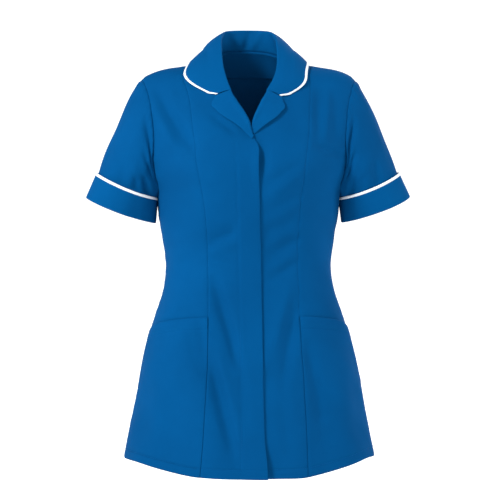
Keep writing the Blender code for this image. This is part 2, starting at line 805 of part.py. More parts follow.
def cuff_piping(side):
    """Cord round the sleeve on the cuff's top edge."""
    band, _ = cuff(side)
    ground, _, _, _ = sleeve_surface(side, (1.0, *CUFF_STEPS))
    out = grid_normals(ground, True) * side
    along = band[0] - band[1]
    along /= np.linalg.norm(along, axis=1, keepdims=True)
    middle = band[0] - out[1] * (WALL / 2)
    centres = middle + along * (PIPING_GAP + PIPING_WIDTH / 2)
    return centres, along * (PIPING_WIDTH / 2), out[1] * (PIPING_THICKNESS / 2)


# Collar and lapels

def lapel(side):
    """Turned-out revers lying on its front, from the roll line to its edge."""
    rows = LAPEL if side < 0 else LAPEL[1:]
    lift = no_lift if side < 0 else lap_lift
    inset = 0.0 if side < 0 else LAPEL_INSET
    outer = []
    inner = []
    for i, row in enumerate(rows):
        outer_row = []
        inner_row = []
        rolled = min(1.0, i / LAPEL_HUMP_FADE)
        for column in range(LAPEL_COLUMNS + 1):
            across = column / LAPEL_COLUMNS
            x = side * (row.roll_x + (row.outer_x - row.roll_x) * across + inset * (1 - across))
            height = row.roll_height + (row.outer_height - row.roll_height) * across
            point, normal = view_point(x, height)
            place = across / LAPEL_HUMP_PLACE
            rise = LAPEL_STANDOFF + LAPEL_HUMP * rolled * place * math.exp(1 - place) + lift(point)
            inner_row.append(point + normal * rise)
            outer_row.append(point + normal * (rise + WALL))
        outer.append(outer_row)
        inner.append(inner_row)
    return np.array(outer), np.array(inner)


def view_point(x, height):
    """Point and direction of the front cloth seen at x and height."""
    ridge = read(RIDGE_HEIGHT, abs(x))
    level = height
    if height > YOKE_LEVEL:
        share = math.asin(min(1.0, (height - YOKE_LEVEL) / (ridge - YOKE_LEVEL))) / RIGHT_ANGLE
        level = YOKE_LEVEL + (SHOULDER_LEVEL - YOKE_LEVEL) * share
    return cloth_point(level, angle_at(x, height), no_lift)


def neck_seam(side):
    """Neck edge of the panels on one side, from centre back to the gorge: both skins and the way out."""
    back, back_inside = back_centre()
    front, front_inside = front_centre(side)
    top = front.shape[0] - 1
    middle = BACK_COLUMNS // 2
    places = []
    for column in range(NECK_COLUMNS + 1):
        c = middle + side * column
        places.append((back[-1, c], back_inside[-1, c], back[-1, c] - back[-2, c]))
    for row in range(top, top - GORGE_ROWS - 1, -1):
        places.append((front[row, 0], front_inside[row, 0], front[row, 0] - front[row, 1]))
    return [(p, q, way / np.linalg.norm(way)) for p, q, way in places]


def divided(places):
    """The same edge with points added where a step is long."""
    dense = [places[0]]
    for near, far in zip(places, places[1:]):
        parts = math.ceil(np.linalg.norm(far[0] - near[0]) / COLLAR_LONGEST_STEP)
        for i in range(1, parts + 1):
            dense.append(tuple(a + (b - a) * i / parts for a, b in zip(near, far)))
    return dense


def collar_stations(side):
    """Stations of half the collar: both skins' starts at the neck seam, fold, edge and crown."""
    places = divided(neck_seam(side))
    steps = [np.linalg.norm(b[0] - a[0]) for a, b in zip(places, places[1:])]
    run = np.concatenate(([0], np.cumsum(steps)))
    names = ("roll_x", "roll_y", "roll_z", "edge_x", "crown")
    lines = {name: smooth_line(COLLAR, "share", name) for name in names}
    Edge = namedtuple("Edge", "share turn")
    edge_rows = [Edge(row.share, dome_turn(row.edge_x, row.edge_height, row.back)) for row in COLLAR]
    edge_line = smooth_line(edge_rows, "share", "turn")
    mirror = np.array((side, 1, 1))
    stations = []
    for (skin, inside, way), distance in zip(places, run):
        share = distance / run[-1]
        roll = np.array([read(lines[name], share) for name in names[:3]]) * mirror
        edge = np.array((side * read(lines["edge_x"], share), read(edge_line, share)))
        crown = read(lines["crown"], share)
        stations.append((skin + way * SEAM_GAP, inside + way * SEAM_GAP, roll, edge, crown))
    return stations


def collar_section(station, tangent):
    """Middle line of the folded collar at one station, from the neck seam to the outer edge."""
    skin, inside, roll, edge, crown = station
    seam = (skin + inside) / 2
    edge_point = dome_point(*edge)
    apex = roll - (seam + edge_point) / 2
    apex -= tangent * float(apex @ tangent)
    apex /= np.linalg.norm(apex)
    out = np.cross(apex, tangent)
    pivot = roll - apex * FOLD_RADIUS
    fold_start = pivot - out * FOLD_RADIUS
    points = [seam + (fold_start - seam) * i / STAND_ROWS for i in range(STAND_ROWS)]
    for i in range(FOLD_ROWS):
        turn = math.pi * i / FOLD_ROWS
        points.append(pivot + (apex * math.sin(turn) - out * math.cos(turn)) * FOLD_RADIUS)
    foot, start_rise = dome_foot(pivot + out * FOLD_RADIUS)
    length = np.linalg.norm(edge_point - dome_point(*foot))
    cloth_share = 1 - (PIPING_WIDTH + PIPING_GAP) / length
    for i in range(FALL_ROWS + 1):
        share = cloth_share * i / FALL_ROWS
        place = foot + (edge - foot) * share
        rise = EDGE_STANDOFF + (start_rise - EDGE_STANDOFF) * (1 - share ** FALL_FULLNESS)
        rise += crown * math.sin(math.pi * share)
        points.append(dome_point(*place) + dome_slopes(*place)[2] * rise)
    return points


def collar():
    """One folded piece: stand and fall. Returns both skins, the side that rests on the tunic first."""
    stations = collar_stations(-1)[:0:-1] + collar_stations(1)
    rolls = np.array([station[2] for station in stations])
    tangents = np.gradient(rolls, axis=0)
    tangents /= np.linalg.norm(tangents, axis=1, keepdims=True)
    middle = np.array([collar_section(s, t) for s, t in zip(stations, tangents)])
    out = grid_normals(middle, False)
    under = middle + out * WALL / 2
    upper = middle - out * WALL / 2
    under[:, 0] = [station[0] for station in stations]
    upper[:, 0] = [station[1] for station in stations]
    return under, upper


def collar_piping():
    """Cord along the collar's outer edge."""
    under, upper = collar()
    middle = (under + upper) / 2
    out = (under - upper)[:, -1] / WALL
    wide = middle[:, -1] - middle[:, -2]
    wide /= np.linalg.norm(wide, axis=1, keepdims=True)
    centres = middle[:, -1] + wide * (PIPING_GAP + PIPING_WIDTH / 2)
    return centres, wide * (PIPING_WIDTH / 2), out * (PIPING_THICKNESS / 2)


# Materials and assembly

COLLECTION = "tunic"
CLOTH_COLOUR = (0.004, 0.110, 0.390, 1.0)
TRIM_COLOUR = (0.86, 0.87, 0.88, 1.0)
ZIP_COLOUR = (0.003, 0.060, 0.220, 1.0)
CLOTH_ROUGHNESS = 0.85
TRIM_ROUGHNESS = 0.6


def make_material(name, colour, roughness):
    material = bpy.data.materials.new(name)
    material.use_nodes = True
    shader = material.node_tree.nodes["Principled BSDF"]
    shader.inputs["Base Color"].default_value = colour
    shader.inputs["Roughness"].default_value = roughness
    shader.inputs["Metallic"].default_value = 0.0
    return material


def cloth(name):
    return make_material(name + "_cloth", CLOTH_COLOUR, CLOTH_ROUGHNESS)


def trim(name):
    return make_material(name + "_trim", TRIM_COLOUR, TRIM_ROUGHNESS)


def clear_scene():
    for thing in list(bpy.data.objects):
        bpy.data.objects.remove(thing, do_unlink=True)
    for group in list(bpy.data.collections):
        bpy.data.collections.remove(group)
    group = bpy.data.collections.new(COLLECTION)
    bpy.context.scene.collection.children.link(group)


def build():
    clear_scene()
    for word, side in (("right", -1), ("left", 1)):
        add_wall("front_centre_" + word, *front_centre(side), cloth("front_centre_" + word))
        add_wall("front_side_" + word, *front_side(side), cloth("front_side_" + word))
        add_wall("back_side_" + word, *back_side(side), cloth("back_side_" + word))
        add_wall("pocket_" + word, *pocket(side), cloth("pocket_" + word))
        add_wall("lapel_" + word, *lapel(side), cloth("lapel_" + word))
        add_wall("sleeve_" + word, *sleeve(side), cloth("sleeve_" + word), closed=True)
        add_wall("cuff_" + word, *cuff(side), cloth("cuff_" + word), closed=True)
        add_cord("cuff_piping_" + word, *cuff_piping(side), trim("cuff_piping_" + word), closed=True)
    add_wall("back_centre", *back_centre(), cloth("back_centre"))
    add_wall("back_neck_facing", *neck_facing(), cloth("back_neck_facing"))
    add_wall("collar", *collar(), cloth("collar"))
    add_cord("collar_piping", *collar_piping(), trim("collar_piping"), closed=False)
    add_wall("zip", *zip_tape(), make_material("zip_tape", ZIP_COLOUR, CLOTH_ROUGHNESS))


build()
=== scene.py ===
"""Looks of a short-sleeved healthcare tunic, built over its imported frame. Metres, +Z up, front facing -Y.

Each cloth piece is a thin shell on the same form as its solid, with rounded seams, creases and
stitches added. The tables of the torso, shoulder, armhole, neck and folds are those of the part's
source. The cuffs' rings, the top of the lapel, the collar's edge behind the neck, the hem's kick
and some standoffs differ from it, and hang() shifts the worn cloth off the pattern.
"""

import math
from collections import namedtuple

import bpy
import numpy as np
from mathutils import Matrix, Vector


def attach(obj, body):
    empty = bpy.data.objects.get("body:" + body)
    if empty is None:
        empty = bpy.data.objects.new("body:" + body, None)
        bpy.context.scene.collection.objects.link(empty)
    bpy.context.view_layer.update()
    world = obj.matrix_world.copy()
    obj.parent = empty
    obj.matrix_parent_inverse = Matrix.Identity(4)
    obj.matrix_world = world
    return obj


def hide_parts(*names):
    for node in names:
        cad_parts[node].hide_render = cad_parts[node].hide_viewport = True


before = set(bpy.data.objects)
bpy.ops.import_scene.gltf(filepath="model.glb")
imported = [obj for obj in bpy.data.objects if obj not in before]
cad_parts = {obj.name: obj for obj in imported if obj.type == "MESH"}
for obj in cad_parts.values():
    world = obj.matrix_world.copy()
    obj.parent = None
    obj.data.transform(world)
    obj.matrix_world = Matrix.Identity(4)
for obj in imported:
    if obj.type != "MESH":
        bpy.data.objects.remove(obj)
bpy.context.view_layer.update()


def table(fields, *rows):
    """Rows of named values."""
    row_of = namedtuple("Row", fields)
    return [row_of(*row) for row in rows]


# Cloth
WALL = 0.0012
LAYER_GAP = 0.0003
LAYER = WALL + LAYER_GAP

# Levels: a row's level is its height up to the yoke, and above it the way over the shoulder
HEM_LEVEL = -0.695
HEM_DIP = 0.009
HEM_DIP_REACH = 0.25
UNDERARM_LEVEL = -0.232
YOKE_LEVEL = -0.130
SHOULDER_LEVEL = 0.030
SHOULDER_Y = 0.005
SKIRT_ROWS = 16
ARMHOLE_RISES = (0.0015, 0.004, 0.010, 0.020, 0.034, 0.056, 0.080)
YOKE_ROWS = 7

# Torso form: half width and depths from the centre, and the princess seam's distance from it
TORSO = table(
    "height half_width front back princess",
    (-0.710, 0.2215, 0.1510, 0.1370, 0.0925),
    (-0.662, 0.2135, 0.1465, 0.1335, 0.0894),
    (-0.620, 0.2050, 0.1420, 0.1300, 0.0872),
    (-0.567, 0.1960, 0.1355, 0.1255, 0.0843),
    (-0.525, 0.1864, 0.1300, 0.1200, 0.0822),
    (-0.483, 0.1755, 0.1230, 0.1130, 0.0803),
    (-0.441, 0.1630, 0.1155, 0.1045, 0.0790),
    (-0.399, 0.1505, 0.1090, 0.0935, 0.0778),
    (-0.357, 0.1446, 0.1060, 0.0860, 0.0767),
    (-0.315, 0.1496, 0.1090, 0.0870, 0.0770),
    (-0.270, 0.1564, 0.1160, 0.0940, 0.0793),
    (-0.232, 0.1585, 0.1205, 0.1000, 0.0840),
    (-0.200, 0.1700, 0.1205, 0.1040, 0.0893),
    (-0.165, 0.1810, 0.1150, 0.1060, 0.0942),
    (-0.130, 0.1880, 0.1040, 0.1050, 0.0982),
    (-0.090, 0.1930, 0.0930, 0.1020, 0.1015),
    (-0.050, 0.1960, 0.0850, 0.0985, 0.1052),
    (0.000, 0.1980, 0.0780, 0.0950, 0.1085),
    (0.045, 0.2000, 0.0740, 0.0930, 0.1100),
)
SQUARENESS = 0.03
FLAT_FRONT = 0.016
FLAT_FRONT_EASE = 0.034

# Fullness that the princess seams shape over the chest
CUP_DEPTH = 0.009
CUP_X = 0.078
CUP_HEIGHT = -0.195
CUP_WIDTH = 0.050
CUP_TALL = 0.062

# Height of the shoulder's ridge by distance from the centre; inside the neck it is only a guide
SHOULDER = table(
    "x height",
    (0.000, 0.0420),
    (0.030, 0.0340),
    (0.055, 0.0140),
    (0.070, 0.0000),
    (0.107, -0.0115),
    (0.154, -0.0210),
    (0.178, -0.0300),
    (0.186, -0.0370),
    (0.200, -0.0500),
)
NECK_POINT_X = 0.070

# Armhole: section angle of its front and back line at each level
ARMHOLE = table(
    "level front back",
    (-0.2320, 90.0, 90.0),
    (-0.2305, 84.0, 84.0),
    (-0.2280, 79.5, 80.0),
    (-0.2220, 75.0, 76.0),
    (-0.2120, 72.5, 73.0),
    (-0.1980, 70.0, 71.0),
    (-0.1760, 66.5, 68.5),
    (-0.1520, 61.5, 66.0),
    (-0.1300, 59.5, 64.5),
    (-0.0980, 58.6, 63.5),
    (-0.0590, 61.0, 64.5),
    (-0.0180, 65.0, 67.5),
    (0.0300, 71.2, 71.2),
)

# Inner edge of a front: straight lap, break of the lapel, roll line, gorge and neck seam
FRONT_EDGE = table(
    "height x",
    (-0.710, -0.0160),
    (-0.160, -0.0160),
    (-0.1480, -0.0145),
    (-0.1370, -0.0100),
    (-0.1290, -0.0060),
    (-0.1140, 0.0017),
    (-0.0905, 0.0136),
    (-0.0710, 0.0230),
    (-0.0570, 0.0305),
    (-0.0440, 0.0455),
    (-0.0300, 0.0560),
    (-0.0150, 0.0640),
    (0.0000, 0.0700),
)
GORGE_HEIGHT = -0.0585

# Neck seam across the back
BACK_NECK = table(
    "x height",
    (0.000, 0.0155),
    (0.030, 0.0140),
    (0.055, 0.0080),
    (0.070, 0.0000),
)

# Under the lap the left front and the zip each lie one layer deeper
LAP_FLAT = 0.018
LAP_EASE = 0.048
LAP_TOP = -0.100
LAP_FULL_TOP = -0.137
LAP_HOLLOW_X = 0.021
LAP_HOLLOW_Z = -0.172
LAP_HOLLOW_WIDTH = 0.010
LAP_HOLLOW_TALL = 0.028
LAP_HOLLOW_DEPTH = 0.0050
LAP_BULGE = 0.0032
LAP_BULGE_WIDTH = 0.014
HEM_KICK = 0.0066
HEM_KICK_REACH = 0.06
ZIP_HALF_WIDTH = 0.0135
ZIP_LOW = -0.6371
ZIP_HIGH = -0.1520
ZIP_TOOTH_STEP = 0.0032
ZIP_TAPE_THICKNESS = 0.0008

# Lapel: roll line and outer edge in the front view, from the break up to the gorge
LAPEL = table(
    "place roll_x roll_height outer_x outer_height",
    (0.0, -0.0060, -0.1290, -0.0040, -0.1335),
    (1.0, 0.0000, -0.1174, 0.0070, -0.1245),
    (2.0, 0.0040, -0.1090, 0.0160, -0.1180),
    (3.0, 0.0095, -0.0985, 0.0290, -0.1105),
    (4.0, 0.0146, -0.0885, 0.0440, -0.1005),
    (5.0, 0.0195, -0.0785, 0.0560, -0.0885),
    (6.0, 0.0230, -0.0710, 0.0628, -0.0797),
    (7.0, 0.0288, -0.0578, 0.0556, -0.0650),
)
LAPEL_STANDOFF = 0.0008
LAPEL_EDGE_LIFT = 0.0034
LAPEL_FOLD_RADIUS = 0.0018
LAPEL_INSET = 0.0012
LAPEL_ROWS = 70
LAPEL_FOLD_PARTS = 8
LAPEL_FLAT_PARTS = 28
LAPEL_THICK = 0.0014

# Collar: fold and outer edge of one half, by the share of the neck seam from centre back
COLLAR = table(
    "share roll_x roll_y roll_z edge_x edge_height back crown",
    (0.00, 0.0000, 0.0500, 0.0510, 0.0000, -0.0070, True, 0.0045),
    (0.14, 0.0255, 0.0450, 0.0505, 0.0340, -0.0085, True, 0.0050),
    (0.27, 0.0405, 0.0300, 0.0480, 0.0640, -0.0105, True, 0.0070),
    (0.40, 0.0465, 0.0090, 0.0410, 0.0895, -0.0108, True, 0.0095),
    (0.50, 0.0480, -0.0120, 0.0290, 0.1025, -0.0107, True, 0.0095),
    (0.63, 0.0482, -0.0340, 0.0105, 0.1065, -0.0200, False, 0.0080),
    (0.76, 0.0470, -0.0560, -0.0140, 0.1045, -0.0395, False, 0.0050),
    (0.89, 0.0400, -0.0695, -0.0380, 0.0865, -0.0560, False, 0.0022),
    (1.00, 0.0272, -0.0785, -0.0560, 0.0552, -0.0635, False, 0.0004),
)
FOLD_RADIUS = 0.0017
EDGE_STANDOFF = 0.0024
FALL_FULLNESS = 1.35
COLLAR_THICK = 0.0015
COLLAR_STATIONS = 110
STAND_PARTS = 10
STAND_BOW = 0.0012
STAND_SEAM_TURNING = 0.0012
FOLD_PARTS = 9
FALL_PARTS = 26
FALL_WAVE = 0.0006
STAND_WAVE = 0.0006
LINE_PASSES = 120
PIPING_WIDTH = 0.0050
PIPING_THICKNESS = 0.0024
PIPING_GAP = 0.0001
PIPING_TUCK = 0.0008

# Creases of the stand behind the neck: along the collar (0 centre back) and up the stand
STAND_CREASES = table(
    "along1 up1 along2 up2 width height",
    (-0.20, 1.1, -0.05, 0.4, 0.030, 0.0022),
    (0.17, 1.1, 0.06, 0.3, 0.026, 0.0018),
    (0.02, 0.9, 0.00, 0.3, 0.028, -0.0010),
    (-0.38, 0.9, -0.30, 0.3, 0.030, 0.0012),
    (0.42, 1.0, 0.33, 0.3, 0.028, 0.0014),
)
STAND_CREASE_SCALE = 0.10

# Sleeve: ring where the cuff's top lies and ring of the sleeve's end, in the front view
Ring = namedtuple("Ring", "outer_x outer_z inner_x inner_z centre_y half_depth tuck")
CUFF_TOP = Ring(0.2610, -0.1985, 0.1590, -0.2405, -0.002, 0.0490, 0.0)
CUFF_END = Ring(0.2820, -0.2415, 0.1640, -0.2855, -0.004, 0.0520, 0.42)
CAP_FULLNESS = 0.0060
RING_SAG = 0.0032
CUFF_TOP_STANDOFF = 0.0022
CUFF_END_STANDOFF = 0.0003
CUFF_THICK = 0.0015
CUFF_DEPTH = 0.047
CUFF_STEPS = np.concatenate(((1.10, 1.104, 1.110, 1.120), np.linspace(1.14, 1.96, 16),
                             (1.975, 1.987, 1.995, 2.0)))
SLEEVE_LENGTH = 0.15
SLEEVE_ROWS = 56
SLEEVE_STEPS = np.concatenate(((0.0, 0.006, 0.014, 0.024, 0.038, 0.056),
                               np.linspace(0.075, 1.0, SLEEVE_ROWS), np.linspace(1.06, 2.0, 14)))

# Pocket: height of its mouth at the princess seam and at the side seam
POCKET_MOUTH_INNER = -0.4386
POCKET_MOUTH_OUTER = -0.4646
POCKET_GAPE = 0.0022
POCKET_GAPE_REACH = 0.07
POCKET_MOUTH_SAG = 0.009
UNDER_POCKET = 0.0010
POCKET_ROWS = 60
POCKET_HEM = 0.020
POCKET_WAVE = 0.0010
FACING_EDGE_HEIGHT = -0.031
FACING_GAP = 0.0010
FACING_HALF_WIDTH = 0.0665
FACING_COLUMNS = 60
FACING_ROWS = 24

# Folds and creases: soft ridges (+) and troughs (-) in the front or the back view
FOLDS = table(
    "back x1 z1 x2 z2 width height",
    (False, -0.146, -0.055, -0.112, -0.160, 0.016, -0.0030),
    (False, -0.122, -0.050, -0.098, -0.150, 0.015, -0.0024),
    (False, 0.118, -0.050, 0.122, -0.150, 0.016, -0.0024),
    (False, 0.146, -0.060, 0.140, -0.150, 0.015, -0.0020),
    (False, -0.070, -0.305, -0.020, -0.290, 0.013, -0.0022),
    (False, 0.025, -0.300, 0.078, -0.270, 0.014, -0.0024),
    (False, 0.030, -0.350, 0.078, -0.318, 0.014, -0.0022),
    (False, -0.066, -0.385, -0.022, -0.520, 0.016, -0.0034),
    (False, -0.066, -0.530, -0.030, -0.680, 0.018, -0.0036),
    (False, 0.030, -0.560, 0.075, -0.420, 0.018, -0.0026),
    (False, 0.120, -0.560, 0.135, -0.690, 0.022, -0.0030),
    (False, -0.130, -0.560, -0.150, -0.690, 0.022, -0.0030),
    (True, -0.060, -0.300, 0.010, -0.330, 0.016, -0.0026),
    (True, 0.070, -0.290, 0.000, -0.360, 0.016, -0.0026),
    (True, -0.140, -0.060, -0.110, -0.170, 0.018, -0.0026),
    (True, 0.140, -0.065, 0.108, -0.180, 0.018, -0.0026),
    (True, -0.045, -0.520, -0.060, -0.690, 0.022, -0.0034),
    (True, 0.040, -0.500, 0.062, -0.690, 0.022, -0.0034),
)
CREASES = table(
    "back x1 z1 x2 z2 width height",
    (False, -0.158, -0.058, -0.119, -0.140, 0.011, -0.0054),
    (False, -0.128, -0.100, -0.099, -0.160, 0.009, -0.0034),
    (False, -0.166, -0.085, -0.134, -0.146, 0.009, 0.0016),
    (False, -0.062, -0.100, -0.026, -0.128, 0.007, -0.0030),
    (False, 0.118, -0.058, 0.114, -0.136, 0.009, -0.0024),
    (False, 0.136, -0.056, 0.128, -0.136, 0.008, 0.0022),
    (False, 0.153, -0.076, 0.148, -0.142, 0.009, -0.0018),
    (False, 0.109, -0.148, 0.159, -0.168, 0.006, -0.0034),
    (False, -0.074, -0.316, -0.030, -0.298, 0.007, -0.0028),
    (False, -0.070, -0.329, -0.028, -0.312, 0.007, 0.0015),
    (False, -0.074, -0.341, -0.034, -0.349, 0.006, -0.0015),
    (False, -0.064, -0.376, -0.022, -0.516, 0.010, -0.0056),
    (False, -0.072, -0.508, -0.036, -0.652, 0.010, -0.0056),
    (False, -0.058, -0.490, -0.030, -0.600, 0.009, 0.0024),
    (False, -0.018, -0.510, -0.010, -0.630, 0.012, -0.0028),
    (False, 0.034, -0.331, 0.077, -0.307, 0.010, -0.0030),
    (False, 0.037, -0.358, 0.077, -0.328, 0.008, 0.0018),
    (False, 0.032, -0.378, 0.077, -0.348, 0.008, -0.0026),
    (False, 0.030, -0.212, 0.081, -0.178, 0.009, -0.0018),
    (False, 0.028, -0.236, 0.081, -0.197, 0.010, 0.0020),
    (False, 0.030, -0.262, 0.080, -0.232, 0.010, -0.0020),
    (False, 0.030, -0.520, 0.064, -0.392, 0.010, 0.0032),
    (False, 0.052, -0.560, 0.074, -0.430, 0.010, -0.0050),
    (False, 0.052, -0.573, 0.058, -0.672, 0.012, -0.0034),
    (False, 0.096, -0.486, 0.120, -0.606, 0.010, -0.0056),
    (False, 0.118, -0.600, 0.122, -0.655, 0.012, -0.0022),
    (False, -0.088, -0.446, -0.083, -0.537, 0.009, -0.0036),
    (False, -0.104, -0.466, -0.094, -0.525, 0.007, -0.0022),
    (False, 0.150, -0.300, 0.112, -0.284, 0.008, -0.0014),
    (False, -0.150, -0.330, -0.108, -0.316, 0.008, -0.0016),
    (False, -0.176, -0.560, -0.186, -0.660, 0.016, -0.0030),
    (False, 0.178, -0.540, 0.188, -0.650, 0.016, -0.0030),
    (True, -0.074, -0.318, -0.020, -0.334, 0.008, -0.0035),
    (True, -0.070, -0.340, -0.026, -0.356, 0.007, 0.0019),
    (True, 0.074, -0.306, 0.018, -0.324, 0.008, -0.0035),
    (True, 0.062, -0.352, 0.004, -0.374, 0.008, -0.0030),
    (True, -0.154, -0.066, -0.120, -0.150, 0.011, -0.0046),
    (True, -0.132, -0.080, -0.106, -0.148, 0.008, -0.0024),
    (True, 0.152, -0.068, 0.118, -0.156, 0.011, -0.0046),
    (True, 0.128, -0.086, 0.108, -0.140, 0.008, 0.0019),
    (True, -0.108, -0.400, -0.140, -0.480, 0.010, -0.0035),
    (True, 0.106, -0.390, 0.142, -0.462, 0.010, -0.0035),
    (True, -0.020, -0.470, -0.030, -0.640, 0.013, -0.0041),
    (True, 0.016, -0.520, 0.020, -0.670, 0.012, -0.0032),
    (True, 0.158, -0.530, 0.176, -0.660, 0.016, -0.0041),
    (True, -0.156, -0.540, -0.172, -0.660, 0.016, -0.0041),
)

# Creases of a sleeve: turn in degrees (0 outer end, 90 front, 180 underarm) and step along it
SLEEVE_CREASES = table(
    "turn1 step1 turn2 step2 width right left",
    (60, 0.13, 112, 0.15, 0.009, -0.0034, -0.0062),
    (88, 0.36, 124, 0.30, 0.010, -0.0024, -0.0044),
    (134, 0.98, 116, 0.60, 0.010, -0.0050, -0.0030),
    (106, 0.98, 96, 0.74, 0.008, -0.0036, -0.0020),
    (78, 1.00, 66, 0.70, 0.008, -0.0012, -0.0036),
    (92, 0.96, 84, 0.56, 0.009, 0.0014, 0.0020),
    (24, 0.90, 14, 0.52, 0.009, -0.0016, -0.0012),
    (236, 0.98, 250, 0.62, 0.009, -0.0034, -0.0042),
    (212, 0.86, 224, 0.40, 0.008, -0.0026, -0.0018),
    (252, 0.14, 292, 0.14, 0.009, -0.0040, -0.0030),
    (274, 1.00, 286, 0.62, 0.008, -0.0012, -0.0024),
    (304, 0.92, 316, 0.58, 0.008, -0.0018, -0.0010),
)
SLEEVE_TURN_LENGTH = 0.00085
SLEEVE_STEP_LENGTH = 0.155

# How far the front hangs towards the wearer's left at its centre, and the lap's edge besides
LEAN = table(
    "level x lap",
    (-0.710, 0.0010, 0.0064),
    (-0.675, 0.0020, 0.0028),
    (-0.640, 0.0030, -0.0017),
    (-0.550, 0.0040, -0.0046),
    (-0.420, 0.0042, -0.0048),
    (-0.324, 0.0026, -0.0036),
    (-0.285, 0.0018, -0.0046),
    (-0.238, 0.0006, -0.0042),
    (-0.175, -0.0010, -0.0036),
    (-0.148, -0.0004, -0.0024),
    (-0.110, 0.0000, 0.0000),
    (0.045, 0.0000, 0.0000),
)
LAP_EDGE_X = 0.016
LAP_SHIFT_REACH = 0.035

# Where the worn front sits off the pattern: place and reach in the front view, and the shift
NUDGES = table(
    "x z wide tall dx dz",
    (-0.062, -0.082, 0.030, 0.030, -0.0024, -0.0024),
    (-0.026, -0.070, 0.026, 0.030, -0.0078, 0.0000),
    (0.062, -0.082, 0.030, 0.030, -0.0062, -0.0062),
    (0.002, -0.122, 0.026, 0.026, -0.0024, -0.0060),
    (-0.105, -0.028, 0.030, 0.026, -0.0090, 0.0000),
    (0.103, -0.018, 0.028, 0.028, -0.0066, 0.0000),
)
SKIRT_SIDE_SHIFT = 0.0036

# How far the front hem hangs off its even curve, by the distance from the centre
HEM_SAG = table(
    "x rise",
    (-0.230, -0.0020),
    (-0.214, 0.0030),
    (-0.196, 0.0048),
    (-0.149, 0.0018),
    (-0.090, -0.0036),
    (-0.025, -0.0040),
    (0.035, -0.0040),
    (0.085, -0.0060),
    (0.110, -0.0036),
    (0.163, 0.0030),
    (0.196, 0.0060),
    (0.212, 0.0036),
    (0.230, -0.0010),
)
HEM_SAG_REACH = 0.09
HEM_CORNER_DROP = 0.0036
HEM_CORNER_X = 0.2215
HEM_CORNER_REACH = 0.014
FRONT_RADIUS = 0.12
FOLD_SHARE = 1.15

# Slow waves of worn cloth
DRIFT_HEIGHT = 0.00042
DRIFT_WAVES = 7
DRIFT_SEED = 11

# Hem and fly
HEM_FOLD = 0.016
HEM_FOLD_STEP = 0.00025
HEM_EXTRA_ROWS = (0.0006, 0.0014, 0.0025, 0.012, 0.0145, 0.0155, 0.0165, 0.0175, 0.020)
STITCH_DENT = 0.00045
STITCH_DENT_WIDTH = 0.0011
HEM_ROUNDING = 0.0007
FLY_WIDTH = 0.040
FLY_STEP = 0.0006
FLY_GROOVE = 0.0008
FLY_GROOVE_WIDTH = 0.0016
FLY_TOP = -0.150

# Stitches, measured along and across the thread
STITCH_LENGTH = 0.0026
STITCH_STEP = 0.0034
STITCH_WIDTH = 0.00042
STITCH_HEIGHT = 0.00022
STITCH_SINK = 0.00015
STITCH_END_GAP = 0.012

# Fineness of the shells
ROW_PARTS = 5
MIDDLE_COLUMNS = 30
EDGE_STEPS = (0.0, 0.0006, 0.0013, 0.0022, 0.0034, 0.0052, 0.0080)
SEAM_ROLL_DEPTH = 0.0008
SEAM_ROLL_WIDTH = 0.0016
PUCKER_HEIGHT = 0.00035
PUCKER_REACH = 0.008

LINE_SAMPLES = 2000
CENTRE_ROUNDING = 0.010
RIGHT_ANGLE = math.pi / 2

# Colours
BLUE = (0.0002, 0.050, 0.158)
BLUE_DEEP = (0.0002, 0.042, 0.134)
BLUE_WORN = (0.0002, 0.052, 0.162)
THREAD_BLUE = (0.0004, 0.060, 0.190)
TAPE_DEEP = (0.002, 0.05, 0.19)
TAPE_BLUE = (0.004, 0.07, 0.24)
TOOTH_BLUE = (0.003, 0.06, 0.22)
WHITE = (0.62, 0.64, 0.66)
WHITE_SHADED = (0.54, 0.57, 0.60)
WEAVE_PITCH = 0.00075
TAPE_PITCH = 0.0012

# Camera, floor and light
CAMERA_DISTANCE = 2.6
CAMERA_TURN = math.radians(-3.0)
CAMERA_HEIGHT = -0.1225
VIEW_WIDTH = 0.875
AIM = (0.0026, 0.0, -0.3337)
FLOOR_HEIGHT = -0.86
FLOOR_FLAT = 3.0
FLOOR_CURVE = 5.0
FLOOR_TURNS = 96
FLOOR_GREY = 0.55
FLOOR_GLOW = 0.80
WORLD_STRENGTH = 0.23
LIGHTS = table(
    "name place target size power",
    ("key", (-2.5, -1.9, 1.9), (0, 0, -0.3), 1.0, 210),
    ("fill", (0.6, -2.9, 0.2), (0, 0, -0.35), 2.2, 10),
    ("edge", (2.7, -0.3, 1.0), (0, 0, -0.25), 1.0, 56),
    ("behind", (1.6, 2.9, 1.6), (0, 0, -0.3), 1.4, 60),
)

# Fields of a piece's cut, which no piece here is given: widest width and length of what shows, area and how
# it is held
Cut = namedtuple("Cut", "width length area held")


# Reading tables

def smooth_line(rows, key, value):
    """A smooth line through two columns of a table, sampled densely."""
    keys = np.array([getattr(row, key) for row in rows], dtype=float)
    values = np.array([getattr(row, value) for row in rows], dtype=float)
    order = np.argsort(keys)
    keys = keys[order]
    values = values[order]
    secants = np.diff(values) / np.diff(keys)
    slopes = np.zeros(len(keys))
    slopes[0] = secants[0]
    slopes[-1] = secants[-1]
    for i in range(1, len(keys) - 1):
        if secants[i - 1] * secants[i] > 0:
            slopes[i] = 2 / (1 / secants[i - 1] + 1 / secants[i])
    fine = np.linspace(keys[0], keys[-1], LINE_SAMPLES)
    span = np.clip(np.searchsorted(keys, fine, side="right") - 1, 0, len(keys) - 2)
    width = keys[span + 1] - keys[span]
    t = (fine - keys[span]) / width
    value_part = (1 + 2 * t) * (1 - t) ** 2 * values[span] + t * t * (3 - 2 * t) * values[span + 1]
    slope_part = t * (1 - t) ** 2 * slopes[span] - t * t * (1 - t) * slopes[span + 1]
    return fine, value_part + width * slope_part


def read(line, key):
    return np.interp(key, line[0], line[1])


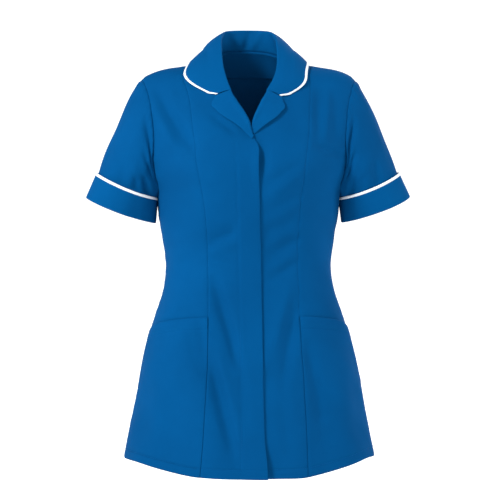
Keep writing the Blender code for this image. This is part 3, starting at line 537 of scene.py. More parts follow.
HALF_WIDTH = smooth_line(TORSO, "height", "half_width")
FRONT_DEPTH = smooth_line(TORSO, "height", "front")
BACK_DEPTH = smooth_line(TORSO, "height", "back")
PRINCESS = smooth_line(TORSO, "height", "princess")
RIDGE_HEIGHT = smooth_line(SHOULDER, "x", "height")
ARMHOLE_FRONT = smooth_line(ARMHOLE, "level", "front")
ARMHOLE_BACK = smooth_line(ARMHOLE, "level", "back")
EDGE_X = smooth_line(FRONT_EDGE, "height", "x")
BACK_NECK_HEIGHT = smooth_line(BACK_NECK, "x", "height")
LEAN_X = smooth_line(LEAN, "level", "x")
LAP_SHIFT = smooth_line(LEAN, "level", "lap")
HEM_RISE = smooth_line(HEM_SAG, "x", "rise")


def from_centre(x):
    """Distance from the centre plane, rounded where the two halves meet."""
    return np.sqrt(np.square(x) + CENTRE_ROUNDING ** 2)


def ridge_height(x):
    return read(RIDGE_HEIGHT, from_centre(x))


def back_neck_height(x):
    return read(BACK_NECK_HEIGHT, from_centre(x))


def smoothstep(start, end, value):
    t = np.clip((value - start) / (end - start), 0, 1)
    return t * t * (3 - 2 * t)


def unit(vectors):
    return vectors / np.linalg.norm(vectors, axis=-1, keepdims=True)


def dot(a, b):
    return np.sum(a * b, axis=-1)

def soft(distance, width):
    """A soft bump by the distance from its middle."""
    return np.exp(-(distance / width) ** 2)


def rounding(distance, reach):
    """Share of an edge's rounding left at a distance from the edge."""
    return np.exp(-(distance / reach) ** 1.5)


# The torso form, for arrays of levels and angles

def section(height, angle):
    """x and y of the form's section: angle 0 is centre front, a right angle is the left side."""
    front = np.cos(angle) > 0
    depth = np.where(front, read(FRONT_DEPTH, height), read(BACK_DEPTH, height))
    swell = 1 + SQUARENESS * np.sin(2 * angle) ** 2
    x = read(HALF_WIDTH, height) * np.sin(angle) * swell
    y = -depth * np.cos(angle) * swell
    across = (np.abs(x) - CUP_X) / CUP_WIDTH
    along = (height - CUP_HEIGHT) / CUP_TALL
    cup = CUP_DEPTH * np.exp(-across ** 2 - along ** 2) * np.cos(angle)
    return x, y - np.where(front, cup, 0)


def form_point(level, angle):
    """Points of the torso form on their levels."""
    level, angle = np.broadcast_arrays(np.asarray(level, dtype=float), np.asarray(angle, dtype=float))
    share = np.maximum(0, (level - YOKE_LEVEL) / (SHOULDER_LEVEL - YOKE_LEVEL))
    low = 1 - smoothstep(HEM_LEVEL, HEM_LEVEL + HEM_DIP_REACH, level)
    height = level - HEM_DIP * low * np.cos(angle) ** 2
    for _ in range(6):
        x = section(height, angle)[0]
        over = YOKE_LEVEL + (ridge_height(x) - YOKE_LEVEL) * np.sin(RIGHT_ANGLE * share)
        height = np.where(share > 0, over, height)
    x, y = section(height, angle)
    y = SHOULDER_Y + (y - SHOULDER_Y) * np.cos(RIGHT_ANGLE * share)
    return np.stack((x, y, height), axis=-1)


def form_normal(level, angle):
    step = 0.001
    level, angle = np.broadcast_arrays(np.asarray(level, dtype=float), np.asarray(angle, dtype=float))
    low = np.minimum(level, SHOULDER_LEVEL - 2 * step) - step
    up = form_point(low + 2 * step, angle) - form_point(low, angle)
    across = form_point(level, angle + step) - form_point(level, angle - step)
    return unit(np.cross(across, up))


def ridge(places, start, end, width):
    """A soft ridge between two places of a plane, and how far along it each place lies."""
    start = np.array(start)
    run = np.array(end) - start
    here = places - start
    along = dot(here, run) / float(run @ run)
    away = np.linalg.norm(here - run * np.clip(along, 0, 1)[..., None], axis=-1)
    return soft(away, width), along


def taper(along):
    """Fade of a crease past both of its ends."""
    return smoothstep(-0.3, 0.3, along) * smoothstep(1.3, 0.7, along)


def folds_rise(points, back, folds, flat_front):
    """How far folds lift the cloth at points; a flat front keeps them off the closure."""
    rise = np.zeros(points.shape[:-1])
    for fold in folds:
        bump, along = ridge(points[..., [0, 2]], (fold.x1, fold.z1), (fold.x2, fold.z2), fold.width)
        rise += np.where(back == fold.back, fold.height * taper(along) * bump, 0)
    if flat_front:
        rise *= np.where(back, 1, smoothstep(FLAT_FRONT, FLAT_FRONT_EASE, np.abs(points[..., 0])))
    return rise


def drift(points):
    """Slow uneven waves of worn cloth, the same for neighbouring pieces."""
    rng = np.random.default_rng(DRIFT_SEED)
    rise = np.zeros(points.shape[:-1])
    for _ in range(DRIFT_WAVES):
        way = unit(rng.normal(size=3) * np.array((1.0, 0.8, 0.55)))
        length = rng.uniform(0.045, 0.15)
        phase = rng.uniform(0, 2 * math.pi)
        rise += np.sin(dot(points, way) * 2 * math.pi / length + phase)
    return rise * DRIFT_HEIGHT


def worn_rise(points, back):
    """How far folds, creases and slow waves lift the cloth at points of the form."""
    folds = FOLD_SHARE * folds_rise(points, back, FOLDS, True)
    return folds + folds_rise(points, back, CREASES, False) + drift(points)


def cloth_point(level, angle, lift=0.0):
    """Outer points of the cloth with its folds, and the directions out of it."""
    front = np.maximum(0, np.cos(angle))
    angle = angle + read(LEAN_X, level) / FRONT_RADIUS * front ** 1.5
    points = form_point(level, angle)
    normals = form_normal(level, angle)
    back = np.cos(angle) < 0
    rise = worn_rise(points, back) + lift
    return points + normals * rise[..., None], normals


def hang(points):
    """Points shifted as the worn tunic hangs; every piece goes through this one map of space."""
    x, y, z = points[..., 0], points[..., 1], points[..., 2]
    front = smoothstep(0.0, -0.045, y)
    near_lap = np.exp(-((x - LAP_EDGE_X) / LAP_SHIFT_REACH) ** 2)
    dx = read(LAP_SHIFT, z) * near_lap
    dz = np.zeros(x.shape)
    for nudge in NUDGES:
        share = np.exp(-((x - nudge.x) / nudge.wide) ** 2 - ((z - nudge.z) / nudge.tall) ** 2)
        dx += nudge.dx * share
        dz += nudge.dz * share
    low = 1 - smoothstep(HEM_LEVEL, HEM_LEVEL + HEM_SAG_REACH, z)
    dz += read(HEM_RISE, x) * low
    skirt = SKIRT_SIDE_SHIFT * smoothstep(0.09, 0.20, x) * smoothstep(-0.36, -0.50, z)
    corner = np.exp(-((np.abs(x) - HEM_CORNER_X) / HEM_CORNER_REACH) ** 2) * low
    shift = (dx * front + skirt, np.zeros(x.shape), dz * front - HEM_CORNER_DROP * corner)
    return points + np.stack(shift, axis=-1)


def angle_at(x, height):
    """Section angle, from the front, at a distance x from the centre."""
    half_width = read(HALF_WIDTH, height)
    angle = np.zeros(np.broadcast(x, height).shape)
    for _ in range(10):
        swell = 1 + SQUARENESS * np.sin(2 * angle) ** 2
        angle = np.arcsin(np.minimum(1.0, np.abs(x) / (half_width * swell)))
    return np.copysign(angle, x)


def line_angle(level, line):
    """Section angle where a line, given by its x at each height, crosses levels."""
    share = np.maximum(0, (level - YOKE_LEVEL) / (SHOULDER_LEVEL - YOKE_LEVEL))
    height = np.array(level, dtype=float)
    for _ in range(10):
        x = read(line, height)
        over = YOKE_LEVEL + (ridge_height(x) - YOKE_LEVEL) * np.sin(RIGHT_ANGLE * share)
        height = np.where(share > 0, over, height)
    return angle_at(x, height)


def level_at(x, height):
    """Level of a front or back point of the form at x and height."""
    rise = (height - YOKE_LEVEL) / (ridge_height(x) - YOKE_LEVEL)
    share = np.arcsin(np.clip(rise, 0, 1)) / RIGHT_ANGLE
    over = YOKE_LEVEL + (SHOULDER_LEVEL - YOKE_LEVEL) * share
    return np.where(height > YOKE_LEVEL, over, height)


# Over the yoke: turn 0 is the front yoke line, a right angle the shoulder ridge

def dome_point(x, turn):
    x, turn = np.broadcast_arrays(np.asarray(x, dtype=float), np.asarray(turn, dtype=float))
    height = YOKE_LEVEL + (ridge_height(x) - YOKE_LEVEL) * np.sin(turn)
    angle = np.abs(angle_at(x, height))
    y = section(height, np.where(turn < RIGHT_ANGLE, angle, math.pi - angle))[1]
    return np.stack((x, SHOULDER_Y + (y - SHOULDER_Y) * np.abs(np.cos(turn)), height), axis=-1)


def dome_slopes(x, turn):
    step = 0.001
    across = (dome_point(x + step, turn) - dome_point(x - step, turn)) / (2 * step)
    along = (dome_point(x, turn + step) - dome_point(x, turn - step)) / (2 * step)
    return across, along, unit(np.cross(across, along))


def dome_turn(x, height, back):
    rise = (height - YOKE_LEVEL) / (ridge_height(x) - YOKE_LEVEL)
    turn = np.arcsin(np.minimum(1.0, rise))
    return np.where(back, math.pi - turn, turn)


def dome_foot(points):
    """Places (x and turn) of the form straight under points, and the distances between them."""
    x = points[..., 0].copy()
    turn = RIGHT_ANGLE + np.arctan2(points[..., 1] - SHOULDER_Y, points[..., 2] - YOKE_LEVEL)
    for _ in range(12):
        across, along, normal = dome_slopes(x, turn)
        gap = points - dome_point(x, turn)
        rise = dot(gap, normal)
        slide = gap - normal * rise[..., None]
        aa = dot(across, across)
        bb = dot(along, along)
        ab = dot(across, along)
        fa = dot(slide, across)
        fb = dot(slide, along)
        spread = aa * bb - ab * ab
        x = x + (fa * bb - fb * ab) / spread
        turn = turn + (fb * aa - fa * ab) / spread
    return x, turn, rise


# Seam lines as section angles

def princess_front(level):
    return line_angle(level, PRINCESS)


def princess_back(level):
    return math.pi - line_angle(level, PRINCESS)


def front_side_edge(level):
    return np.where(level <= UNDERARM_LEVEL, RIGHT_ANGLE, np.radians(read(ARMHOLE_FRONT, level)))


def back_side_edge(level):
    return np.where(level <= UNDERARM_LEVEL, RIGHT_ANGLE, math.pi - np.radians(read(ARMHOLE_BACK, level)))


def front_edge(level):
    return line_angle(level, EDGE_X)


def divided(values, parts):
    fine = [values[0]]
    for low, high in zip(values, values[1:]):
        fine.extend(low + (high - low) * i / parts for i in range(1, parts + 1))
    return np.array(fine)


def torso_levels():
    skirt = np.linspace(HEM_LEVEL, UNDERARM_LEVEL, SKIRT_ROWS + 1)
    armhole = [UNDERARM_LEVEL + rise for rise in ARMHOLE_RISES]
    yoke = np.linspace(YOKE_LEVEL, SHOULDER_LEVEL, YOKE_ROWS + 1)
    return divided([float(level) for level in (*skirt, *armhole, *yoke)], ROW_PARTS)


# Grids of points and their meshes

def grid_steps(grid, axis, closed):
    steps = unit(np.diff(grid, axis=axis))
    first = np.take(steps, [0], axis=axis)
    last = np.take(steps, [-1], axis=axis)
    if closed:
        first = unit(np.take(grid, [0], axis=axis) - np.take(grid, [-1], axis=axis))
        last = first
    before = np.concatenate((first, steps), axis=axis)
    after = np.concatenate((steps, last), axis=axis)
    return unit(before + after)


def grid_normals(grid, closed=False):
    return unit(np.cross(grid_steps(grid, 1, closed), grid_steps(grid, 0, False)))


def cloth_lengths(grid):
    """Lengths along rows and columns of a grid, for weave directions."""
    over = np.linalg.norm(np.diff(grid, axis=1), axis=2)
    up = np.linalg.norm(np.diff(grid, axis=0), axis=2)
    u = np.concatenate((np.zeros((grid.shape[0], 1)), np.cumsum(over, axis=1)), axis=1)
    v = np.concatenate((np.zeros((1, grid.shape[1])), np.cumsum(up, axis=0)), axis=0)
    u = u - u[:, [grid.shape[1] // 2]]
    return u, v


def add_shell(name, outer, inner, material, closed=False):
    """Closed shell between two grids; closed joins the last column to the first."""
    rows, columns = outer.shape[:2]
    count = rows * columns
    points = np.concatenate((outer.reshape(-1, 3), inner.reshape(-1, 3)))
    index = np.arange(count).reshape(rows, columns)
    low = index if closed else index[:, :-1]
    right = np.roll(index, -1, axis=1) if closed else index[:, 1:]
    front = np.stack((low[:-1], right[:-1], right[1:], low[1:]), axis=-1).reshape(-1, 4)
    bottom = np.stack((right[0], low[0], low[0] + count, right[0] + count), axis=-1)
    top = np.stack((low[-1], right[-1], right[-1] + count, low[-1] + count), axis=-1)
    faces = [front, front[:, ::-1] + count, bottom, top]
    if not closed:
        start = index[:, 0]
        end = index[:, -1]
        faces.append(np.stack((start[:-1], start[1:], start[1:] + count, start[:-1] + count), axis=-1))
        faces.append(np.stack((end[1:], end[:-1], end[:-1] + count, end[1:] + count), axis=-1))
    u, v = cloth_lengths(outer)
    uv = np.concatenate((np.stack((u, v), axis=-1).reshape(-1, 2),) * 2)
    return add_mesh(name, points, np.concatenate(faces).tolist(), material, uv)


def add_mesh(name, points, faces, material, uv=None):
    """A smooth mesh, hung as the worn tunic hangs, on the one body."""
    mesh = bpy.data.meshes.new(name)
    mesh.from_pydata(hang(points).tolist(), [], faces)
    mesh.update()
    if uv is not None:
        layer = mesh.uv_layers.new(name="cloth")
        loops = np.zeros(len(mesh.loops), dtype=int)
        mesh.loops.foreach_get("vertex_index", loops)
        layer.data.foreach_set("uv", uv[loops].ravel())
    mesh.shade_smooth()
    mesh.materials.append(material)
    thing = bpy.data.objects.new(name, mesh)
    bpy.context.scene.collection.objects.link(thing)
    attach(thing, "root")
    return thing


def add_cord(name, centres, wides, thicks, material, closed, sides=14):
    """A strip of oval section along centres, with its ends capped unless it is closed."""
    turns = np.linspace(0, 2 * math.pi, sides, endpoint=False)
    rings = (centres[:, None] + wides[:, None] * np.cos(turns)[None, :, None]
             + thicks[:, None] * np.sin(turns)[None, :, None])
    index = np.arange(len(centres) * sides).reshape(len(centres), sides)
    near = index if closed else index[:-1]
    far = np.roll(index, -1, axis=0) if closed else index[1:]
    faces = np.stack((near, np.roll(near, -1, axis=1), np.roll(far, -1, axis=1), far), axis=-1)
    faces = faces.reshape(-1, 4).tolist()
    points = rings.reshape(-1, 3)
    if not closed:
        first_end = len(points)
        points = np.concatenate((points, centres[[0, -1]]))
        start = index[0].tolist()
        end = index[-1].tolist()
        for i in range(sides):
            j = (i + 1) % sides
            faces.append([start[j], start[i], first_end])
            faces.append([end[i], end[j], first_end + 1])
    return add_mesh(name, points, faces, material)


# Panels

def seam_roll(distance):
    """Cloth turned under at a seam."""
    return -SEAM_ROLL_DEPTH * rounding(distance, SEAM_ROLL_WIDTH)


def pucker(distance, along, phase):
    """Small uneven waves beside a seam."""
    wave = np.sin(along * 300 + phase + 1.7 * np.sin(along * 41 + phase))
    return PUCKER_HEIGHT * wave * (soft(distance, PUCKER_REACH) - soft(distance, SEAM_ROLL_WIDTH))


def panel_angles(levels, start, end):
    """Angles of a panel's points on its rows, close together near both seams, with seam distances."""
    width = np.linalg.norm(form_point(levels, end) - form_point(levels, start), axis=-1) * 1.02
    near = np.array(EDGE_STEPS)
    middle = np.linspace(0, 1, MIDDLE_COLUMNS + 2)[1:-1]
    reach = np.minimum(near[-1] / width, 0.3)[:, None]
    left = near[None] / near[-1] * reach
    inside = reach + (1 - 2 * reach) * middle[None]
    share = np.concatenate((left, inside, 1 - left[:, ::-1]), axis=1)
    angles = start[:, None] + (end - start)[:, None] * share
    return angles, share * width[:, None], (1 - share) * width[:, None]


def edge_lift(levels, from_start, from_end, phase):
    """Rolled and puckered cloth at both seams of a panel."""
    along = levels[:, None]
    at_start = seam_roll(from_start) + pucker(from_start, along, phase)
    return at_start + (seam_roll(from_end) + pucker(from_end, along, phase + 2))


def lap_lift(points):
    """The left front goes under the zip and the lap."""
    near = 1 - smoothstep(LAP_FLAT, LAP_EASE, points[..., 0])
    below = 1 - smoothstep(LAP_FULL_TOP, LAP_TOP, points[..., 2])
    beside = soft(points[..., 0] - LAP_HOLLOW_X, LAP_HOLLOW_WIDTH)
    high = soft(points[..., 2] - LAP_HOLLOW_Z, LAP_HOLLOW_TALL)
    return -2 * LAYER * near * below - LAP_HOLLOW_DEPTH * beside * high


def kick_lift(points):
    low = 1 - smoothstep(HEM_LEVEL, HEM_LEVEL + HEM_KICK_REACH, points[..., 2])
    return HEM_KICK * low * smoothstep(-0.03, 0.016, points[..., 0])


def hem_lift(levels):
    """Turned-up hem: a slightly thicker band that rounds in at the edge."""
    height = (levels - HEM_LEVEL)[:, None]
    band = HEM_FOLD_STEP * (1 - smoothstep(HEM_FOLD - 0.001, HEM_FOLD + 0.001, height))
    stitch = -STITCH_DENT * soft(height - HEM_FOLD, STITCH_DENT_WIDTH)
    return band + stitch - HEM_ROUNDING * rounding(height, 0.0012)


def hem_levels(levels):
    """Rows with more of them close to the hem's edge and its stitches."""
    return np.unique(np.concatenate((levels, HEM_LEVEL + np.array(HEM_EXTRA_ROWS))))


def shell_of(outer, normals):
    return outer, outer - normals * WALL


def front_centre_grid(side, levels):
    """Front with its closing edge; the right one is the lap and carries the fly."""
    angles, from_start, from_end = panel_angles(levels, front_edge(levels), princess_front(levels))
    angles = side * angles
    base = form_point(levels[:, None], angles)
    above = smoothstep(-0.137, -0.12, base[..., 2])
    lift = seam_roll(from_end) + pucker(from_end, levels[:, None], 1.0 + side)
    lift += seam_roll(from_start) * 0.8 * (1 - above)
    lift += lap_lift(base) if side > 0 else kick_lift(base)
    if side < 0:
        bulge = soft(base[..., 0] - LAP_EDGE_X, LAP_BULGE_WIDTH)
        lift += LAP_BULGE * bulge * soft(base[..., 2] - LAP_HOLLOW_Z, LAP_HOLLOW_TALL)
        below = 1 - smoothstep(FLY_TOP, FLY_TOP + 0.015, base[..., 2])
        lift += below * -FLY_GROOVE * soft(from_start - FLY_WIDTH, FLY_GROOVE_WIDTH)
        lift += below * FLY_STEP * (1 - smoothstep(FLY_WIDTH - 0.001, FLY_WIDTH + 0.001, from_start))
    lift += hem_lift(levels)
    return cloth_point(levels[:, None], angles, lift)


def front_side_grid(side, levels):
    """Side front, a little deeper where the pocket covers it."""
    angles, from_start, from_end = panel_angles(levels, princess_front(levels), front_side_edge(levels))
    lift = edge_lift(levels, from_start, from_end, 3.0 + side)
    under = 1 - smoothstep(POCKET_MOUTH_OUTER - 0.03, POCKET_MOUTH_OUTER, levels)[:, None]
    return cloth_point(levels[:, None], side * angles, lift + hem_lift(levels) - UNDER_POCKET * under)


def back_side_grid(side, levels):
    angles, from_start, from_end = panel_angles(levels, back_side_edge(levels), princess_back(levels))
    lift = edge_lift(levels, from_start, from_end, 5.0 + side) + hem_lift(levels)
    return cloth_point(levels[:, None], side * angles, lift)


def back_top_level(x):
    rise = (back_neck_height(x) - YOKE_LEVEL) / (ridge_height(x) - YOKE_LEVEL)
    share = np.arcsin(np.minimum(1.0, rise)) / RIGHT_ANGLE
    top = YOKE_LEVEL + (SHOULDER_LEVEL - YOKE_LEVEL) * share
    return np.where(np.abs(x) >= NECK_POINT_X, SHOULDER_LEVEL, top)


def back_centre_grid(levels):
    start = princess_back(levels)
    end = 2 * math.pi - start
    angles, from_start, from_end = panel_angles(levels, start, end)
    share = (angles - start[:, None]) / (end - start)[:, None]
    own = np.repeat(levels[:, None], angles.shape[1], axis=1)
    for _ in range(6):
        own_start = princess_back(own)
        own_angles = own_start + (2 * math.pi - 2 * own_start) * share
        top = back_top_level(form_point(own, own_angles)[..., 0])
        part = (levels[:, None] - YOKE_LEVEL) / (SHOULDER_LEVEL - YOKE_LEVEL)
        own = np.where(levels[:, None] > YOKE_LEVEL, YOKE_LEVEL + (top - YOKE_LEVEL) * part, own)
    lift = edge_lift(levels, from_start, from_end, 8.0) + hem_lift(levels)
    return cloth_point(own, own_angles, lift)


def pocket_grid(side):
    """Second layer over the side front, from the mouth's folded edge to the hem."""
    share = np.concatenate((np.linspace(0, 0.90, POCKET_ROWS), np.linspace(0.905, 1, 24)))
    base_levels = HEM_LEVEL + (POCKET_MOUTH_INNER - HEM_LEVEL) * share
    _, from_start, from_end = panel_angles(base_levels, princess_front(base_levels),
                                           front_side_edge(base_levels))
    across = from_start / (from_start + from_end)
    drop = (POCKET_MOUTH_INNER - POCKET_MOUTH_OUTER + POCKET_MOUTH_SAG) * across ** 1.5
    levels = base_levels[:, None] - drop * share[:, None]
    start = princess_front(levels)
    own = side * (start + (np.full(levels.shape, RIGHT_ANGLE) - start) * across)
    below = POCKET_MOUTH_INNER - drop - levels
    gape = POCKET_GAPE * np.sin(math.pi * across ** 1.4) * (1 - smoothstep(0, POCKET_GAPE_REACH, below))
    lift = 0.5 * (seam_roll(from_start) + seam_roll(from_end)) + hem_lift(base_levels) + LAYER + gape
    lift -= 0.0006 * rounding(below, 0.0012)
    lift += 0.0003 * (1 - smoothstep(POCKET_HEM - 0.001, POCKET_HEM + 0.001, below))
    lift -= 0.0004 * soft(below - POCKET_HEM, STITCH_DENT_WIDTH)
    wave = np.sin(below * 55 + 2 * side) * np.sin(math.pi * across) * smoothstep(0, 0.05, below)
    lift += POCKET_WAVE * wave
    lift -= UNDER_POCKET * smoothstep(0.0, 0.06, below)
    return cloth_point(levels, own, lift)


def facing_grid():
    """Strip inside the back of the neck, down to a straight edge."""
    x = np.linspace(-FACING_HALF_WIDTH, FACING_HALF_WIDTH, FACING_COLUMNS)
    share = np.linspace(0, 1, FACING_ROWS)[:, None]
    top = back_neck_height(x) - 0.0003
    height = FACING_EDGE_HEIGHT + (top[None] - FACING_EDGE_HEIGHT) * share
    xs = np.repeat(x[None], FACING_ROWS, axis=0)
    points, normals = cloth_point(level_at(xs, height), math.pi - angle_at(xs, height))
    edge = 0.0004 * soft(height - FACING_EDGE_HEIGHT, 0.0015)
    return points - normals * (WALL + FACING_GAP + edge)[..., None], normals


# Sleeves

def armhole_ring(side):
    """The armhole seam from the shoulder down the front and up the back, and its lowest point's place."""
    levels = torso_levels()
    levels = levels[levels >= UNDERARM_LEVEL - 1e-9]
    front = levels[::-1]
    back = levels[1:-1]
    ring_levels = np.concatenate((front, back))
    ring_angles = np.concatenate((front_side_edge(front), back_side_edge(back)))
    points, normals = cloth_point(ring_levels, side * ring_angles)
    return points, normals, len(levels) - 1


def ring_turns(ring, bottom):
    steps = np.linalg.norm(np.diff(np.vstack((ring, ring[:1])), axis=0), axis=1)
    run = np.concatenate(([0], np.cumsum(steps)))
    front = math.pi * run[: bottom + 1] / run[bottom]
    back = math.pi + math.pi * (run[bottom + 1:-1] - run[bottom]) / (run[-1] - run[bottom])
    return np.concatenate((front, back))


def tilted_ring(ring, turns, side):
    centre = np.array(((ring.outer_x + ring.inner_x) / 2, ring.centre_y, (ring.outer_z + ring.inner_z) / 2))
    half = np.array(((ring.outer_x - ring.inner_x) / 2, 0, (ring.outer_z - ring.inner_z) / 2))
    points = centre + half * np.cos(turns)[:, None]
    inner = (1 - np.cos(turns)) / 2
    points[:, 1] -= ring.half_depth * np.sin(turns) * (1 - ring.tuck * inner)
    points[:, 2] -= RING_SAG * np.sin(turns) ** 2
    return points * np.array((side, 1, 1))


def sleeve_ground(side, steps):
    """Outer points of the sleeve at steps from the armhole (0) over the cuff's top (1) to its end (2)."""
    seam, normals, bottom = armhole_ring(side)
    turns = ring_turns(seam, bottom)
    tangents = np.roll(seam, -1, axis=0) - np.roll(seam, 1, axis=0)
    away = unit(np.cross(normals, tangents) * side)
    top = tilted_ring(CUFF_TOP, turns, side)
    end = tilted_ring(CUFF_END, turns, side)
    spread = unit(top - top.mean(axis=0))
    round_share = 1 - ((1 - np.cos(turns)) / 2) ** 3
    rows = []
    for step in steps:
        if step <= 1:
            full = CAP_FULLNESS * math.sin(math.pi * step ** 0.75) ** 0.8 * round_share
            rows.append(seam * (1 - step) + top * step + spread * full[:, None])
        else:
            rows.append(top * (2 - step) + end * (step - 1))
    return np.array(rows), normals, away, turns


def sleeve_creases(turns, steps, side):
    """Rise of a sleeve's creases over its grid of turns and steps."""
    turn = np.degrees(turns)[None, :] * SLEEVE_TURN_LENGTH
    places = np.stack(np.broadcast_arrays(turn, np.asarray(steps)[:, None] * SLEEVE_STEP_LENGTH), axis=-1)
    rise = np.zeros((len(steps), len(turns)))
    for crease in SLEEVE_CREASES:
        start = (crease.turn1 * SLEEVE_TURN_LENGTH, crease.step1 * SLEEVE_STEP_LENGTH)
        end = (crease.turn2 * SLEEVE_TURN_LENGTH, crease.step2 * SLEEVE_STEP_LENGTH)
        bump, along = ridge(places, start, end, crease.width)
        height = crease.right if side < 0 else crease.left
        rise += height * taper(along) * bump
    return rise


def underarm_seam(turns):
    """Groove of the seam under the arm, by the turn round the sleeve."""
    return -0.0006 * rounding(np.abs(turns - math.pi)[None, :] * 0.05, 0.0014)


def sleeve_grids(side):
    ground, normals, away, turns = sleeve_ground(side, SLEEVE_STEPS)
    under = ((1 - np.cos(turns)) / 2)[:, None] ** 1.5
    at_seam = unit(normals * (1 - under) - away * under)
    out = grid_normals(ground, True) * side
    out[0] = at_seam
    steps = SLEEVE_STEPS[:, None]
    inside_cuff = 1 - smoothstep(0.96, 1.04, steps)
    from_seam = steps * SLEEVE_LENGTH
    rise = drift(ground) * smoothstep(0, 0.1, steps) * inside_cuff
    rise += sleeve_creases(turns, SLEEVE_STEPS, side) * smoothstep(0, 0.12, steps) * inside_cuff
    ease = np.sin(np.degrees(turns) * 0.55)[None, :] * 0.0005 * (1 + np.cos(turns))[None, :]
    rise += ease * soft(from_seam - 0.006, 0.006)
    rise += underarm_seam(turns) * smoothstep(0, 0.1, steps)
    near_body = soft(from_seam, 0.006)[..., None]
    way = unit(out * (1 - near_body) + normals * near_body)
    outer = ground + out * rise[..., None] + way * seam_roll(from_seam)[..., None]
    out = grid_normals(outer, True) * side
    out[0] = at_seam
    return outer, outer - out * WALL


def cuff_grids(side):
    """Turned-up band round the sleeve's end, standing off it at its top."""
    ground, _, _, turns = sleeve_ground(side, CUFF_STEPS)
    out = grid_normals(ground, True) * side
    share = ((2 - CUFF_STEPS) / (2 - CUFF_STEPS[0]))[:, None]
    under = ((1 - np.cos(turns)) / 2)[None, :] ** 1.5
    standoff = CUFF_END_STANDOFF + (CUFF_TOP_STANDOFF * (1 - 0.9 * under) - CUFF_END_STANDOFF) * share
    from_top = (CUFF_STEPS - CUFF_STEPS[0])[:, None] * CUFF_DEPTH
    from_end = (2 - CUFF_STEPS)[:, None] * CUFF_DEPTH
    edges = -0.0007 * rounding(from_top, 0.0008) - 0.0009 * rounding(from_end, 0.0010)
    wave = drift(ground * 1.3 + 0.7) * 0.7 + 0.0002 * np.sin(np.degrees(turns) * 0.21)[None, :]
    inner = ground + out * standoff[..., None]
    thick = CUFF_THICK + edges + (wave + underarm_seam(turns)) * (1 - share * 0.3)
    return inner + out * thick[..., None], inner, out


def cuff_piping_line(side):
    outer, inner, out = cuff_grids(side)
    along = unit(outer[4] - outer[10])
    middle = (outer[0] + inner[0]) / 2 + out[0] * 0.0002
    centres = middle + along * (PIPING_GAP + PIPING_WIDTH / 2 - PIPING_TUCK)
    return centres, along * (PIPING_WIDTH / 2), out[0] * (PIPING_THICKNESS / 2)


# Collar and lapels

def neck_places(side):
    """Neck seam on one side, from centre back to the gorge: points, directions out and up the cloth."""
    back_x = np.linspace(0, NECK_POINT_X * 0.995, 200)
    height = np.linspace(0, GORGE_HEIGHT, 200)[1:]
    edge_x = read(EDGE_X, height)
    x = side * np.concatenate((back_x, edge_x))
    back_turn = dome_turn(back_x, back_neck_height(back_x), True)
    turn = np.concatenate((back_turn, dome_turn(edge_x, height, False)))
    line = dome_point(x, turn)
    line = line + dome_slopes(x, turn)[2] * worn_rise(line, turn > RIGHT_ANGLE)[:, None]
    run = np.concatenate(([0], np.cumsum(np.linalg.norm(np.diff(line, axis=0), axis=1))))
    wanted = np.linspace(0, 1, COLLAR_STATIONS)
    return np.stack([np.interp(wanted, run / run[-1], line[:, i]) for i in range(3)], axis=1), wanted


EvenRow = namedtuple("EvenRow", "share roll_x roll_y roll_z edge_x turn crown")


def collar_rows():
    """The collar's table with both halves, from the wearer's right (-1) to the left (1)."""
    half = [EvenRow(row.share, row.roll_x, row.roll_y, row.roll_z, row.edge_x,
                    float(dome_turn(row.edge_x, row.edge_height, row.back)), row.crown) for row in COLLAR]
    other = [row._replace(share=-row.share, roll_x=-row.roll_x, edge_x=-row.edge_x) for row in half[:0:-1]]
    return other + half


def neck_line():
    """Neck seam of the whole collar and each station's share of its half."""
    right, share = neck_places(-1)
    left, _ = neck_places(1)
    return np.concatenate((right[:0:-1], left)), np.concatenate((-share[:0:-1], share))


def smooth_rows(values, passes):
    """Values with their corners eased along the first axis, ends kept."""
    for _ in range(passes):
        values = values.copy()
        values[1:-1] = (values[:-2] + 2 * values[1:-1] + values[2:]) / 4
    return values


